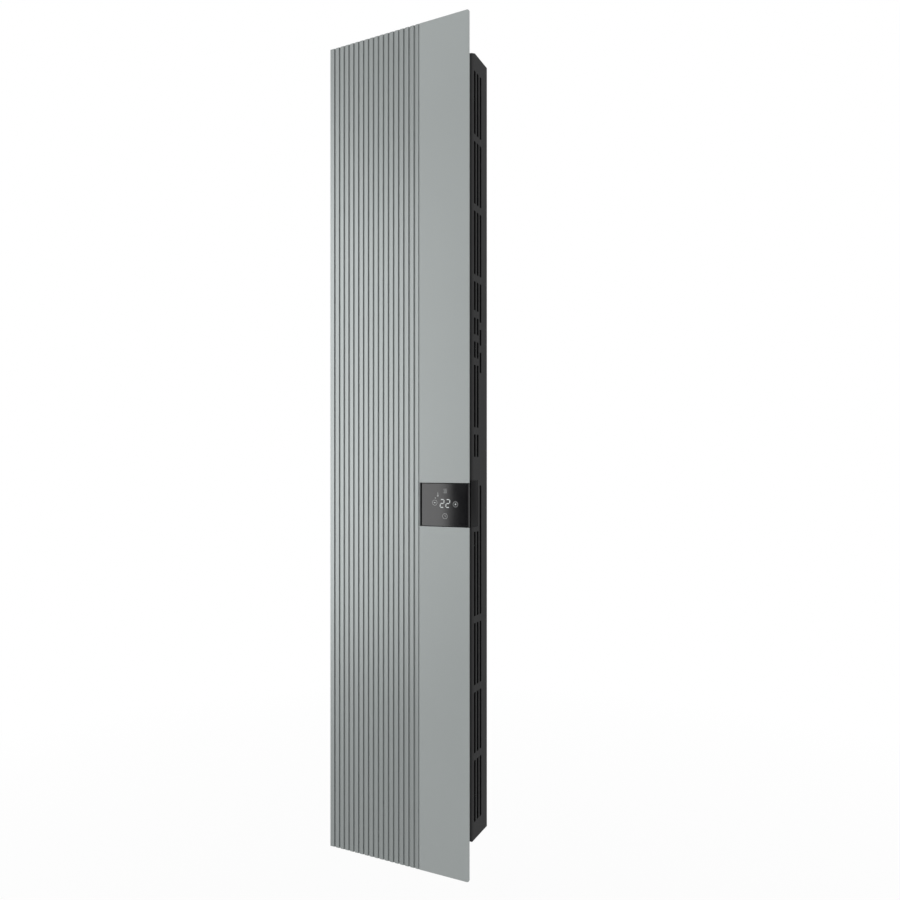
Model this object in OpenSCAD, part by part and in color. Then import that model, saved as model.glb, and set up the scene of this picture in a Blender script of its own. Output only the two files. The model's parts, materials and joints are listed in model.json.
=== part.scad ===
// Tall electric wall radiator: a ribbed front panel on a black convector chassis that hangs on two wall brackets.
// The wall is the plane y = 0, the room lies towards -Y, +X is to the right of someone facing the radiator,
// and z = 0 is half way between the two rows of wall screws.

/* [Front panel] */
// Width of the front panel
panel_w = 345; // [343:1:380]
// Height of the front panel
panel_h = 1800; // [1720:1:1900]
// Thickness of the front panel
panel_t = 5; // [4:0.1:8]
// Radius of the panel's right-hand corners
panel_corner_r = 6; // [3:0.5:12]
// Depth of the bevel round the back of the panel
panel_bevel = 3; // [1:0.1:3.5]
// Number of ribs
rib_count = 18; // [12:1:18]
// Distance from one rib to the next
rib_pitch = 12.75; // [10:0.05:12.8]
// Width of a groove between two ribs
groove_w = 4.2; // [1.5:0.1:4.5]
// Depth of a groove
groove_d = 2.8; // [1:0.1:3.5]
// Radius of a rib's shoulders
shoulder_r = 0.5; // [0.3:0.1:1]
// Width of the fine line that closes the ribbed field
fine_w = 2.2; // [0.6:0.1:2.4]
// Depth of the fine line
fine_d = 1.8; // [0.5:0.1:2.5]

/* [Chassis] */
// Width of the chassis
chassis_w = 338; // [332:1:342]
// Height of the chassis
chassis_h = 1654; // [1640:1:1700]
// Depth of the chassis
chassis_d = 84; // [82:1:100]
// Air gap between the panel and the chassis
stand_off = 12; // [11:0.5:16]
// Gap between the chassis and the wall
wall_gap = 12; // [12:0.5:20]
// Sheet thickness of the front tray
tray_t = 1.5; // [1:0.1:2]
// Radius round the front edges of the chassis
tray_r = 8; // [6:0.5:9]
// Thickness of the grilles and the end caps
wall_t = 2; // [2:0.1:3]
// Sheet thickness of the back plate
back_t = 1.5; // [1:0.1:2]
// Height of the slope at the top of the chassis front
slope_h = 8.5; // [6:0.5:12]
// Depth of that slope
slope_d = 20; // [14:0.5:30]

/* [Side grilles] */
// Width of a slot
slot_w = 8.5; // [6:0.1:9]
// Radius of a slot's corners
slot_r = 1.6; // [0.5:0.1:3]
// Distance from one column of slots to the next
slot_pitch = 14.8; // [13:0.1:16.5]
// Distance from the chassis front to the first column
slot_first = 19.5; // [19:0.1:21]
// Width of the bars between two slots of a column
bar_w = 15; // [10:0.5:20]
// Solid height at each end of a grille
slot_end = 37; // [30:1:50]
// Number of slots in a column of the left grille
left_rows = 11; // [8:1:13]

/* [Control unit] */
// Width of the notch in the panel's right edge
notch_w = 115.5; // [108:0.5:115.5]
// Height of the notch
notch_h = 92; // [86:1:100]
// Distance of the notch centre below the panel centre
notch_drop = 123; // [119:1:130]
// Thickness of the touch glass
glass_t = 3; // [2:0.1:4]
// Shadow gap at the left of the glass
shadow_gap = 4.8; // [2:0.1:5]
// Shadow gap above and below the glass
rim_gap = 1.3; // [0.6:0.1:2.5]

/* [Heating elements] */
// Length of a finned convector
element_l = 530; // [480:5:540]
// Width of a finned convector
element_w = 116; // [90:1:120]
// Depth of a finned convector
element_d = 52; // [40:1:54]
// Distance of a convector's centre line from the middle
element_x = 80; // [76:1:82]
// Radius of a heating rod
rod_r = 4; // [3:0.1:5]

/* [Wall brackets] */
// Distance between the two wall screws of a bracket
screw_dx = 160; // [140:1:180]
// Distance between the upper and the lower row of wall screws
screw_dz = 1400; // [1380:1:1410]
// Radius of a wall screw hole
wall_hole_r = 3.25; // [2.5:0.05:4]
// Sheet thickness of the wall brackets
bracket_t = 2.5; // [2:0.1:3]
// Distance of a hook from the middle
hook_x = 105; // [100:1:120]
// Height of a hook's nose
hook_nose = 8; // [5:0.5:9]

/* [Hidden] */

fit = 0.3;          // clearance between two pieces that seat on each other
over = 1;           // overrun of every cut
$fn = 48;

// planes of the stack, from the wall to the room
y_back = -wall_gap;
y_tray = y_back - chassis_d;
y_panel = y_tray - stand_off;
y_face = y_panel - panel_t;
x_side = chassis_w / 2;
z_end = chassis_h / 2;
y_tray_in = y_tray + tray_t;
y_back_in = y_back - back_t;

// seam between the tray and the walls behind it
tray_straight = 2.5;
y_seam = y_tray + tray_r + tray_straight;
lip_reach = 3;
lip_root = 2;
ledge_w = 14;
ledge_t = 2.5;
slope_angle = atan2(slope_h, slope_d);

// small screws that hold the sheet parts
screw_r = 2;
screw_hole_r = 2.1;
screw_head_r = 3.8;
screw_dome_r = 2.7;
screw_head_h = 2.2;
screw_l = 7;

// grille rows of the right side, as shares of the slotted half height
grille_half = z_end - slot_end;
upper_front_shares = [1, 0.822, 0.637, 0.449, 0.3525, 0.289, 0.2266, 0.041, -0.028];
upper_rear_shares = [1, 0.822, 0.637, 0.449, 0.326, 0.264, 0.199];
lower_front_shares = [-0.228, -0.462, -0.646, -0.827, -1];
lower_rear_shares = [-0.105, -0.462, -0.646, -0.827, -1];
left_shares = [for (i = [0 : left_rows]) 1 - 2 * i / left_rows];

// vents in the end caps
vent_l = 52;
vent_gap = 14;
vent_count = 4;

// heating film, insulation and rails behind the panel
film_t = 0.8;
film_inset = 16;
film_side_inset = 12.5;
board_t = 6;
board_inset = 20;
board_side_inset = 16.5;
rail_l = 290;
rail_web = 24;
rail_flange = 12;
rail_t = 1.2;
rail_outer_drop = 53;
rail_low_drop = 20.25;
rail_high_drop = 33.75;
rail_screw_x = 118;
y_film = y_panel + film_t;
rail_half = rail_web / 2 + rail_flange;

// convectors, their shelves and the reflectors
element_depth_share = 0.43;
y_element = y_tray + chassis_d * element_depth_share;
fin_t = 1.8;
core_r = 8;
main_fin_angle = 21;
short_fin_angle = 62;
plate_shares = [-0.7, -0.42, 0.42, 0.7];
shelf_t = 1.5;
shelf_inset = 19;
shelf_w = chassis_w - 2 * shelf_inset;
shelf_flange = 18;
shelf_seat = 5;
z_zone = element_l / 2 + shelf_seat;
bush_r = 8;
bush_flange_r = 11;
bush_flange_t = 3;
rod_out = 18;
rod_bore_fit = 0.1;
boot_r = 5.5;
boot_l = 16;
reflector_t = 0.8;
y_reflector = y_element + element_d / 2 + shelf_seat;
reflector_w = 276;
reflector_window = [44, 68];
cutout_r = 8;
cutout_h = 9;
cutout_foot = [26, 8];
// windows that let the air through a shelf, and the row of their centres
window = [26, 34];
window_x = [-124, -36, 36, 124];

// electronics box on the back plate
box_w = 92;
box_h = 220;
box_d = 36;
box_foot_z = -70;
box_z = box_foot_z + box_h / 2;
box_t = 2;
post_h = 3;
post_r = 5;
post_inset = 15;
spacer_r = 3;
x_box = x_side - wall_t - shelf_seat - box_w / 2;
y_box = y_back_in - post_h;
y_lid = y_box - box_d;
pcb_t = 1.6;
pcb_gap = 6;
y_pcb = y_box - box_t - pcb_gap;
relay = [20, 16, 28];
relay_gap = 5;
relay_inset = 38;
relay_rise = box_h / 2 - relay_inset;
coil = [34, 20, 40];
coil_place = [-18, 11];
cap_r = 6;
cap_h = 15;
cap_place = [23, -6];
cap_pitch = 17;
connector = [56, 12, 12];
connector_inset = 26;
connector_drop = box_h / 2 - connector_inset;
lead_r = 1.6;
lead_bend = 9;
lead_step = 6;

// supply gland, terminals and earth stud in the foot of the back plate
foot_rise = 42;
z_foot = -z_end + foot_rise;
gland_x = 60;
gland_bore_r = 4;
gland_r = 8;
gland_flange_r = 11;
gland_flange_t = 5;
gland_l = 20;
gland_nut_r = 12;
gland_nut_t = 6;
earth_x = 92;
earth_r = 2.5;
earth_l = 14;
nut_r = 4.6;
nut_t = 3.2;
terminal = [56, 14, 22];
terminal_x = -12;
terminal_ways = 4;
terminal_hole_r = 3;
terminal_hole_l = 8;
y_lead = y_back_in - lead_r - fit;
clip = [9, 5, 6];
clip_shares = [-0.84, -0.68, -0.52, -0.36, -0.2];

// control unit in the notch
z_notch = -notch_drop;
x_notch = panel_w / 2 - notch_w;
glass_set = 0.5;
edge_set = 0.6;
flange_lap = 3;
housing_t = 2;
housing_back = 2;
side_block_w = 40;
side_block_d = 34;
block_proud = 0.4;
block_r = 3;
block_lead = 1;
block_above = 4.5;
neck_in = 4;
y_glass = y_face + glass_set;
glass_edge_r = glass_t - glass_set / 2;
y_housing = y_glass + glass_t;
y_block = y_tray + side_block_d;
x_block = x_side + block_proud;
x_neck = x_block - neck_in;
glass_h = notch_h - 2 * rim_gap;
z_block_low = z_notch - notch_h / 2;
block_h = notch_h + block_above;
y_flange = y_panel + fit;
board_set = 2;
digit_w = 30;
digit_h = 28;
ribbon_w = 20;
ribbon_t = 0.8;
x_ribbon = x_block - side_block_w / 2;
y_ribbon = y_box - box_d / 2;
z_ribbon = z_notch + glass_h / 2 - 2 * housing_t - ribbon_t;

// room sensor and power switch on the bottom cap
sensor_x = -118;
sensor_r = 3;
sensor_l = 18;
sensor_block = [12, 12, 9];
switch_x = 112;
switch_depth_share = 0.55;
bezel = [21, 15, 2];
switch_body = [19, 12.8, 20];
switch_cavity = [16, 9.2, 9];
rocker_half = 7.2;
rocker_rise = 1.4;
rocker_depth = 5;
rocker_foot = 3;
rocker_w = 8.6;
rocker_pivot = 1.5;
rocker_pin_r = 1;
rocker_pin_fit = 0.05;
rocker_tilt = 10;
y_switch = y_tray + chassis_d * switch_depth_share;
tab_w = 5;
tab_t = 0.8;
tab_l = 7;

// brackets, hooks and the quarter-turn lock
z_screw = screw_dz / 2;
wall_plate_w = 240;
wall_plate_h = 56;
hook_t = 3;
hook_arm = 12;
hook_gap = 0.6;
hook_tip = 5;
hang_gap = 0.2;
lift = 10;
slot_play = 2;
reinforcer_t = 2.5;
reinforcer_w = 40;
reinforcer_h = 60;
hook_slot_w = 16;
hook_slot_h = hook_arm + lift + slot_play;
seat_drop = 14;
z_seat = z_screw - seat_drop;
pivot_drop = 42;
z_pivot = -z_screw - pivot_drop;
pivot_r = 4;
pivot_fit = 0.08;
pivot_head_r = 7;
pivot_head_t = 1.8;
boss_r = 9;
boss_h = 2.6;
lever_t = 2.4;
lever_gap = 0.3;
lever_hub_r = 11;
tongue_l = 40;
tongue_w = 10;
lever_l = 98;
lever_w = 12;
grip_l = 30;
grip_t = 1.5;
grip_skin = 0.9;
grip_fit = 0.03;
keeper_w = 14;
keeper_t = 1.5;
keeper_x = 30;
keeper_gap = 0.9;
keeper_foot = 14;
buffer_r = 9;
buffer_tip_r = 7.2;
plug_r = 4.35;
plug_hole_r = 4.5;
buffer_x = 135;
y_boss = -bracket_t - boss_h;
y_lever = y_boss - lever_gap;
tab_reach = 23;
plate_corner_r = 5.5;

// 2D shape helpers

// slot with rounded corners along the second axis, centred
module slot_2d(length, width) {
    square([width, length - 2 * slot_r], center = true);
    square([width - 2 * slot_r, length], center = true);
    for (x = [-1, 1]) for (y = [-1, 1]) translate([x * (width / 2 - slot_r), y * (length / 2 - slot_r)]) circle(slot_r);
}

// rectangle from its low corner with two rounded corners on the right
module right_rounded_2d(w, h, r) {
    square([w - r, h]);
    translate([0, r]) square([w, h - 2 * r]);
    for (y = [r, h - r]) translate([w - r, y]) circle(r);
}

// open pan section: the front edge lies on the first axis and its two corners are rounded
module pan_2d(w, d, r) {
    intersection() {
        union() {
            translate([-w / 2 + r, 0]) square([w - 2 * r, d]);
            translate([-w / 2, r]) square([w, d - r]);
            for (s = [-1, 1]) translate([s * (w / 2 - r), r]) circle(r);
        }
        translate([-w / 2, 0]) square([w, d]);
    }
}

// 3D helpers

// sheet in the XZ plane, from y towards +Y
module sheet(y, thickness) {
    translate([0, y + thickness, 0]) rotate([90, 0, 0]) linear_extrude(height = thickness) children();
}

// profile drawn as (y, z), extruded along X and centred on x
module along_x(x, length) {
    translate([x - length / 2, 0, 0]) rotate([90, 0, 90]) linear_extrude(height = length) children();
}

// cylinder along Y, from y to y + length
module pin_y(x, y, z, r, length) {
    translate([x, y + length, z]) rotate([90, 0, 0]) cylinder(r = r, h = length);
}

// box from its low corner to its high corner
module block(low, high) {
    translate(low) cube(high - low);
}

// sheet screw that points to the room, with its low domed head on the plane y
module sheet_screw(x, y, z) {
    pin_y(x, y - screw_l, z, screw_r, screw_l);
    translate([x, y, z]) rotate([-90, 0, 0]) cylinder(r1 = screw_head_r, r2 = screw_dome_r, h = screw_head_h);
}

// pan with rounded front edges on all four sides, front face at y
module pan(y, w, h, d, r) {
    translate([0, y, 0]) intersection() {
        translate([0, 0, -h / 2]) linear_extrude(height = h) pan_2d(w, d, r);
        rotate([0, -90, 0]) translate([0, 0, -w / 2]) linear_extrude(height = w) pan_2d(h, d, r);
    }
}

// turns the breaks of a column into the low and high end of each slot
function runs(shares) = let (last = len(shares) - 1)
    [for (i = [0 : last - 1]) [
        shares[i + 1] * grille_half + (i + 1 < last ? bar_w / 2 : 0),
        shares[i] * grille_half - (i > 0 ? bar_w / 2 : 0)
    ]];

function column_y(i) = y_tray + slot_first + i * slot_pitch;

// one column of slots through a side wall
module slot_column(y, shares) {
    for (run = runs(shares))
        translate([x_side - wall_t - over, y, (run[0] + run[1]) / 2])
            rotate([90, 0, 90]) linear_extrude(height = wall_t + 2 * over) slot_2d(run[1] - run[0], slot_w);
}

// smooth route: straight runs between points, each corner turned on a quadratic curve
corner_steps = 4;
function unit(v) = v / norm(v);
function bend(a, b, c, r) = let (p = b + r * unit(a - b), q = b + r * unit(c - b))
    [for (i = [0 : corner_steps]) let (t = i / corner_steps) (1 - t) ^ 2 * p + 2 * t * (1 - t) * b + t ^ 2 * q];
function route(points, r) = let (last = len(points) - 1) [
    points[0],
    for (i = [1 : last - 1]) each bend(points[i - 1], points[i], points[i + 1], r),
    points[last]
];
function headings(p) = let (last = len(p) - 1)
    [for (i = [0 : last]) unit(p[min(i + 1, last)] - p[max(i - 1, 0)])];
function normals(t, i, n) = i >= len(t) ? [] :
    let (m = unit(n - (n * t[i]) * t[i])) concat([m], normals(t, i + 1, m));

// insulated lead swept along a route
lead_sides = 8;
module lead(points, bend_r, first_normal) {
    p = route(points, bend_r);
    t = headings(p);
    n = normals(t, 0, first_normal);
    verts = [for (i = [0 : len(p) - 1]) for (k = [0 : lead_sides - 1])
        let (a = 360 * k / lead_sides) p[i] + lead_r * (cos(a) * n[i] + sin(a) * cross(t[i], n[i]))];
    rings = len(p);
    quads = [for (i = [0 : rings - 2]) for (k = [0 : lead_sides - 1]) let (j = (k + 1) % lead_sides)
        [i * lead_sides + k, (i + 1) * lead_sides + k, (i + 1) * lead_sides + j, i * lead_sides + j]];
    start = [for (k = [0 : lead_sides - 1]) k];
    end = [for (k = [lead_sides - 1 : -1 : 0]) (rings - 1) * lead_sides + k];
    polyhedron(verts, concat([start], quads, [end]));
}

// Front panel: ribs, fine line, control notch, rounded right corners and a bevelled back
fine_shoulder_r = 0.3;
fine_lead = 3.2;

// groove from its left wall, with a rounded shoulder on each side
module groove_2d(left, width, depth, r) {
    translate([left, y_face]) {
        translate([0, -over]) square([width, depth + over]);
        difference() {
            translate([-r, -over]) square([width + 2 * r, r + over]);
            for (x = [-r, width + r]) translate([x, r]) circle(r);
        }
    }
}

module panel_section() {
    difference() {
        translate([-panel_w / 2, y_face]) square([panel_w, panel_t]);
        for (i = [1 : rib_count - 1])
            groove_2d(-panel_w / 2 + i * rib_pitch - groove_w / 2, groove_w, groove_d, shoulder_r);
        groove_2d(-panel_w / 2 + rib_count * rib_pitch - fine_lead, fine_w, fine_d, fine_shoulder_r);
    }
}

// triangular prism that bevels one back edge, drawn for the edge at +u of a span of half width u
module bevel_2d(u) {
    polygon([[u + over, y_panel + over], [u + over, y_panel - panel_bevel - over],
             [u, y_panel - panel_bevel], [u - panel_bevel, y_panel], [u - panel_bevel, y_panel + over]]);
}

module front_panel() {
    color([0.64, 0.67, 0.665]) difference() {
        intersection() {
            translate([0, 0, -panel_h / 2]) linear_extrude(height = panel_h) panel_section();
            sheet(y_face, panel_t) translate([-panel_w / 2, -panel_h / 2])
                right_rounded_2d(panel_w, panel_h, panel_corner_r);
        }
        for (s = [0, 1]) mirror([s, 0, 0])
            translate([0, 0, -panel_h / 2 - over]) linear_extrude(height = panel_h + 2 * over) bevel_2d(panel_w / 2);
        for (s = [0, 1]) mirror([0, 0, s])
            rotate([0, -90, 0]) translate([0, 0, -panel_w / 2 - over])
                linear_extrude(height = panel_w + 2 * over) bevel_2d(panel_h / 2);
        block([x_notch, y_face - over, z_notch - notch_h / 2],
              [panel_w / 2 + over, y_panel + over, z_notch + notch_h / 2]);
    }
}

// opening that the pieces behind the panel leave round the control unit
module control_clearance() {
    block([x_notch - flange_lap - 2 * fit, y_face - over, z_notch - notch_h / 2 - flange_lap - 2 * fit],
          [panel_w / 2 + over, y_tray + over, z_notch + notch_h / 2 + block_above + 2 * fit]);
}

module radiant_film() {
    color([0.28, 0.2, 0.12]) difference() {
        block([-x_side + film_side_inset, y_panel, -z_end + film_inset],
              [x_side - film_side_inset, y_film, z_end - film_inset]);
        control_clearance();
    }
}

module insulation_boards() {
    edges = concat([-z_end + board_inset - rail_half - fit], rail_z, [z_end - board_inset + rail_half + fit]);
    color([0.82, 0.8, 0.68]) difference() {
        for (i = [0 : len(edges) - 2])
            block([-x_side + board_side_inset, y_film, edges[i] + rail_half + fit],
                  [x_side - board_side_inset, y_film + board_t, edges[i + 1] - rail_half - fit]);
        control_clearance();
        for (x = film_lead_x) pin_y(x, y_film - over, film_lead_z, grommet_r + fit, board_t + 2 * over);
    }
}

module rail_section() {
    translate([y_film, -rail_web / 2]) square([rail_t, rail_web]);
    for (s = [-1, 1]) {
        translate([y_film, s * (rail_web / 2 - rail_t / 2) - rail_t / 2]) square([y_tray - y_film, rail_t]);
        translate([y_tray - rail_t, s * (rail_web / 2 + rail_flange / 2 - rail_t / 2) - rail_flange / 2 - rail_t / 2])
            square([rail_t, rail_flange + rail_t]);
    }
}

rail_screw_z = -rail_web / 2 - rail_flange / 2;

module rail_screw_holes() {
    for (z = rail_z) for (x = [-rail_screw_x, rail_screw_x])
        pin_y(x, y_tray - rail_t - over, z + rail_screw_z, screw_hole_r, rail_t + tray_t + 2 * over);
}

module panel_rails() {
    color([0.7, 0.71, 0.72]) difference() {
        for (z = rail_z) translate([0, 0, z]) along_x(0, rail_l) rail_section();
        rail_screw_holes();
    }
}

module rail_screws() {
    color([0.75, 0.75, 0.77]) for (z = rail_z) for (x = [-rail_screw_x, rail_screw_x])
        sheet_screw(x, y_tray_in, z + rail_screw_z);
}

// Chassis
film_lead_x = [92, 104];
film_lead_z = 60;
grommet_r = 4;
grommet_lap = 1;
grommet_t = 1.2;

module control_window() {
    block([x_side - side_block_w - 2 * fit, y_tray - over, z_block_low - fit],
          [x_side + over, y_block + fit, z_block_low + block_h + fit]);
}

// what lies above the slope at the top of the chassis front, or above a plane that runs at `inset` inside it
module above_slope(inset) {
    low = z_end - inset / cos(slope_angle) - slope_h;
    along_x(0, chassis_w + 2 * over) polygon([
        [y_tray - slope_d, low - slope_h], [y_tray + slope_d * 2, low + 2 * slope_h],
        [y_tray + slope_d * 2, z_end + slope_h + over], [y_tray - slope_d, z_end + slope_h + over]
    ]);
}

module front_tray() {
    color([0.07, 0.07, 0.075]) difference() {
        pan(y_tray, chassis_w, chassis_h, tray_r + tray_straight, tray_r);
        above_slope(0);
        difference() {
            pan(y_tray_in, chassis_w - 2 * tray_t, chassis_h - 2 * tray_t, tray_r + tray_straight + over, tray_r - tray_t);
            above_slope(tray_t);
        }
        control_window();
        rail_screw_holes();
        for (x = film_lead_x) pin_y(x, y_tray - over, film_lead_z, grommet_r, tray_t + 2 * over);
        for (z = shelf_heights()) for (x = [-shelf_screw_x, shelf_screw_x])
            pin_y(x, y_tray - over, z, screw_hole_r, tray_t + 2 * over);
    }
}

// places of the screws round the back plate
back_screw_shares = [-0.96, -0.6, -0.2, 0.2, 0.6, 0.96];
back_screw_x = x_side - wall_t - ledge_w / 2;

module back_screw_holes() {
    for (s = back_screw_shares) for (x = [-back_screw_x, back_screw_x])
        pin_y(x, y_back_in - ledge_t - over, s * z_end, screw_hole_r, ledge_t + back_t + 2 * over);
}

// wall on the +X side: plate, lip behind the tray edge and ledge for the back plate
module side_wall() {
    difference() {
        block([x_side - wall_t, y_seam + fit, -z_end], [x_side, y_back, z_end]);
        above_slope(0);
    }
    block([x_side - tray_t - fit - wall_t, y_seam - lip_reach, -z_end + tray_r + wall_t],
          [x_side - tray_t - fit, y_seam + lip_root, z_end - tray_r - wall_t]);
    block([x_side - wall_t - ledge_w, y_back_in - ledge_t, -z_end + wall_t + fit],
          [x_side - wall_t / 2, y_back_in, z_end - wall_t - fit]);
}

module side_grille_right() {
    color([0.07, 0.07, 0.075]) difference() {
        side_wall();
        for (i = [0, 1]) {
            slot_column(column_y(i), upper_front_shares);
            slot_column(column_y(i), lower_front_shares);
        }
        slot_column(column_y(2), upper_rear_shares);
        slot_column(column_y(2), lower_rear_shares);
        control_window();
        back_screw_holes();
    }
}

module side_grille_left() {
    color([0.07, 0.07, 0.075]) mirror([1, 0, 0]) difference() {
        side_wall();
        for (i = [0 : 2]) slot_column(column_y(i), left_shares);
        back_screw_holes();
    }
}

// point at depth y of the plane that runs at `drop` inside a front slope with this rise
function slope_point(y, rise, drop) =
    [y, z_end - drop / cos(atan2(rise, slope_d)) - rise * (y_tray + slope_d - y) / slope_d];
// where that plane meets the level plane at the same `drop` below the end face
function slope_knee(rise, drop) = [y_tray + slope_d + drop * tan(atan2(rise, slope_d) / 2), z_end - drop];

// side view of a sheet from y_low to y_high, `inset` below a face that slopes at the front and is level behind
module sloped_sheet_2d(rise, inset, y_low, y_high, thickness) {
    deep = inset + thickness;
    past_knee = y_high > y_tray + slope_d + deep;
    polygon(concat(
        [slope_point(y_low, rise, inset)],
        past_knee ? [slope_knee(rise, inset), [y_high, z_end - inset], [y_high, z_end - deep], slope_knee(rise, deep)]
                  : [slope_point(y_high, rise, inset), slope_point(y_high, rise, deep)],
        [slope_point(y_low, rise, deep)]
    ));
}

// end wall on the +Z side, between the two grilles; its front rises by `rise` over the slope
module end_wall(rise) {
    half = x_side - wall_t - fit;
    lip_half = x_side - tray_t - 2 * fit - wall_t - tray_r;
    ledge_half = x_side - wall_t - ledge_w - fit;
    along_x(0, 2 * half) sloped_sheet_2d(rise, 0, y_seam + fit, y_back, wall_t);
    along_x(0, 2 * lip_half) sloped_sheet_2d(rise, tray_t + fit, y_seam - lip_reach, y_seam + lip_root, wall_t);
    block([-ledge_half, y_back_in - ledge_t, z_end - wall_t - ledge_w], [ledge_half, y_back_in, z_end - wall_t / 2]);
}

module end_vents() {
    pitch = vent_l + vent_gap;
    for (i = [0 : 2]) for (k = [0 : vent_count - 1])
        translate([(k - (vent_count - 1) / 2) * pitch, column_y(i), z_end - slope_h - wall_t])
            linear_extrude(height = slope_h + wall_t + over) rotate(90) slot_2d(vent_l, slot_w);
}

module top_cap() {
    color([0.07, 0.07, 0.075]) difference() {
        end_wall(slope_h);
        end_vents();
    }
}

// the bottom cap has the room sensor and the power switch beside its vents
module bottom_cap() {
    color([0.07, 0.07, 0.075]) difference() {
        mirror([0, 0, 1]) difference() {
            end_wall(0);
            intersection() {
                end_vents();
                block([-vent_l - vent_gap, y_tray, 0], [vent_l + vent_gap, y_back, z_end + over]);
            }
        }
        block([switch_x - switch_body.x / 2 - fit, y_switch - switch_body.y / 2 - fit, -z_end - over],
              [switch_x + switch_body.x / 2 + fit, y_switch + switch_body.y / 2 + fit, -z_end + wall_t + over]);
    }
}

module hook_slots(y, thickness) {
    for (x = [-hook_x, hook_x])
        block([x - hook_slot_w / 2, y - over, z_seat + hang_gap - hook_slot_h],
              [x + hook_slot_w / 2, y + thickness + over, z_seat + hang_gap]);
}

module chassis_back() {
    half = x_side - wall_t - fit;
    color([0.1, 0.1, 0.105]) difference() {
        block([-half, y_back_in, -z_end + wall_t + fit], [half, y_back, z_end - wall_t - fit]);
        hook_slots(y_back_in, back_t);
        back_screw_holes();
        pin_y(gland_x, y_back_in - over, z_foot, gland_r + fit, back_t + 2 * over);
        pin_y(earth_x, y_back_in - over, z_foot, earth_r + screw_hole_r - screw_r, back_t + 2 * over);
        for (x = [-buffer_x, buffer_x]) pin_y(x, y_back_in - over, z_foot, plug_hole_r, back_t + 2 * over);
    }
}

module back_screws() {
    color([0.2, 0.2, 0.21]) for (s = back_screw_shares) for (x = [-back_screw_x, back_screw_x])
        sheet_screw(x, y_back, s * z_end);
}

module hook_reinforcers() {
    color([0.62, 0.63, 0.64]) difference() {
        for (x = [-hook_x, hook_x])
            block([x - reinforcer_w / 2, y_back_in - reinforcer_t, z_seat - reinforcer_h / 2],
                  [x + reinforcer_w / 2, y_back_in, z_seat + reinforcer_h / 2]);
        hook_slots(y_back_in - reinforcer_t, reinforcer_t);
    }
}

// catch on the back plate: its lip hangs behind the tongue of the lock lever, also while the heater is lifted
module lock_keeper() {
    z_low = z_pivot - tongue_w / 2 - lift;
    z_leg = z_pivot + tongue_w / 2 + keeper_gap;
    y_lip = y_lever + lever_gap;
    color([0.62, 0.63, 0.64]) along_x(keeper_x, keeper_w) polygon([
        [y_back, z_leg], [y_lip, z_leg], [y_lip, z_low], [y_lip + keeper_t, z_low],
        [y_lip + keeper_t, z_leg + keeper_t], [y_back + keeper_t, z_leg + keeper_t],
        [y_back + keeper_t, z_leg + keeper_foot], [y_back, z_leg + keeper_foot]
    ]);
}

// rubber stops that keep the foot of the chassis off the wall
module wall_buffers() {
    color([0.05, 0.05, 0.05]) for (x = [-buffer_x, buffer_x]) {
        translate([x, y_back, z_foot]) rotate([-90, 0, 0])
            cylinder(r1 = buffer_r, r2 = buffer_tip_r, h = wall_gap - fit);
        pin_y(x, y_back_in - back_t, z_foot, plug_r, back_t * 2 + fit);
    }
}

// Heating elements
shelf_screw_x = 60;

// heights of the two zones, and of the four shelves round them: the upper zone's boots end a lead's room
// above the electronics box, and the lower zone mirrors the upper one
boot_end = z_zone + shelf_t + bush_flange_t + rod_out + boot_l / 2;
lead_room = 34;
function zone_z(i) = (i == 0 ? 1 : -1) * (box_foot_z + box_h + lead_room + boot_end);
function shelf_heights() = [for (i = [0, 1]) for (k = [-1, 1]) zone_z(i) + k * (z_zone + shelf_t / 2)];

// the panel's rails clear the shelves: the outer two lie between the shelves, the inner two just below them
z_shelf_outer = zone_z(0) + z_zone + shelf_t / 2;
z_shelf_inner = zone_z(0) - z_zone - shelf_t / 2;
rail_z = [-z_shelf_outer + rail_outer_drop, -z_shelf_inner - rail_low_drop,
          z_shelf_inner - rail_high_drop, z_shelf_outer - rail_outer_drop];

module fin_section() {
    difference() {
        union() {
            circle(core_r);
            intersection() {
                square([element_w, element_d], center = true);
                union() {
                    for (a = [-main_fin_angle, main_fin_angle]) rotate(a) square([2 * element_w, fin_t], center = true);
                    for (a = [-short_fin_angle, short_fin_angle]) rotate(a) square([2 * element_d, fin_t], center = true);
                    for (s = plate_shares)
                        translate([s * element_w / 2, 0]) square([fin_t, abs(s) * element_d], center = true);
                }
            }
        }
        circle(rod_r + rod_bore_fit);
    }
}

// finned aluminium extrusion, `zone` 0 is the upper one and `side` +1 is the right one
module convector(zone, side) {
    color([0.08, 0.08, 0.085]) translate([side * element_x, y_element, zone_z(zone) - element_l / 2])
        linear_extrude(height = element_l) fin_section();
}

// each rod shows its terminal towards the middle of the radiator
module heating_rods() {
    for (i = [0, 1]) for (x = [-element_x, element_x]) {
        towards = i == 0 ? -1 : 1;
        reach = z_zone + shelf_t + bush_flange_t;
        color([0.5, 0.5, 0.52]) translate([x, y_element, zone_z(i)]) mirror([0, 0, i == 0 ? 1 : 0])
            translate([0, 0, -reach]) cylinder(r = rod_r, h = 2 * reach + rod_out);
    }
}

// ceramic bush with its flange on the shelf
module bush() {
    difference() {
        union() {
            cylinder(r = bush_flange_r, h = bush_flange_t);
            translate([0, 0, -shelf_t - fit]) cylinder(r = bush_r, h = shelf_t + fit + bush_flange_t);
        }
        translate([0, 0, -shelf_t - over]) cylinder(r = rod_r + rod_bore_fit, h = shelf_t + bush_flange_t + 2 * over);
    }
}

module rod_insulators() {
    color([0.93, 0.92, 0.88]) for (i = [0, 1]) for (k = [0, 1]) for (x = [-element_x, element_x])
        translate([x, y_element, zone_z(i)]) mirror([0, 0, k]) translate([0, 0, z_zone + shelf_t]) bush();
}

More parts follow.
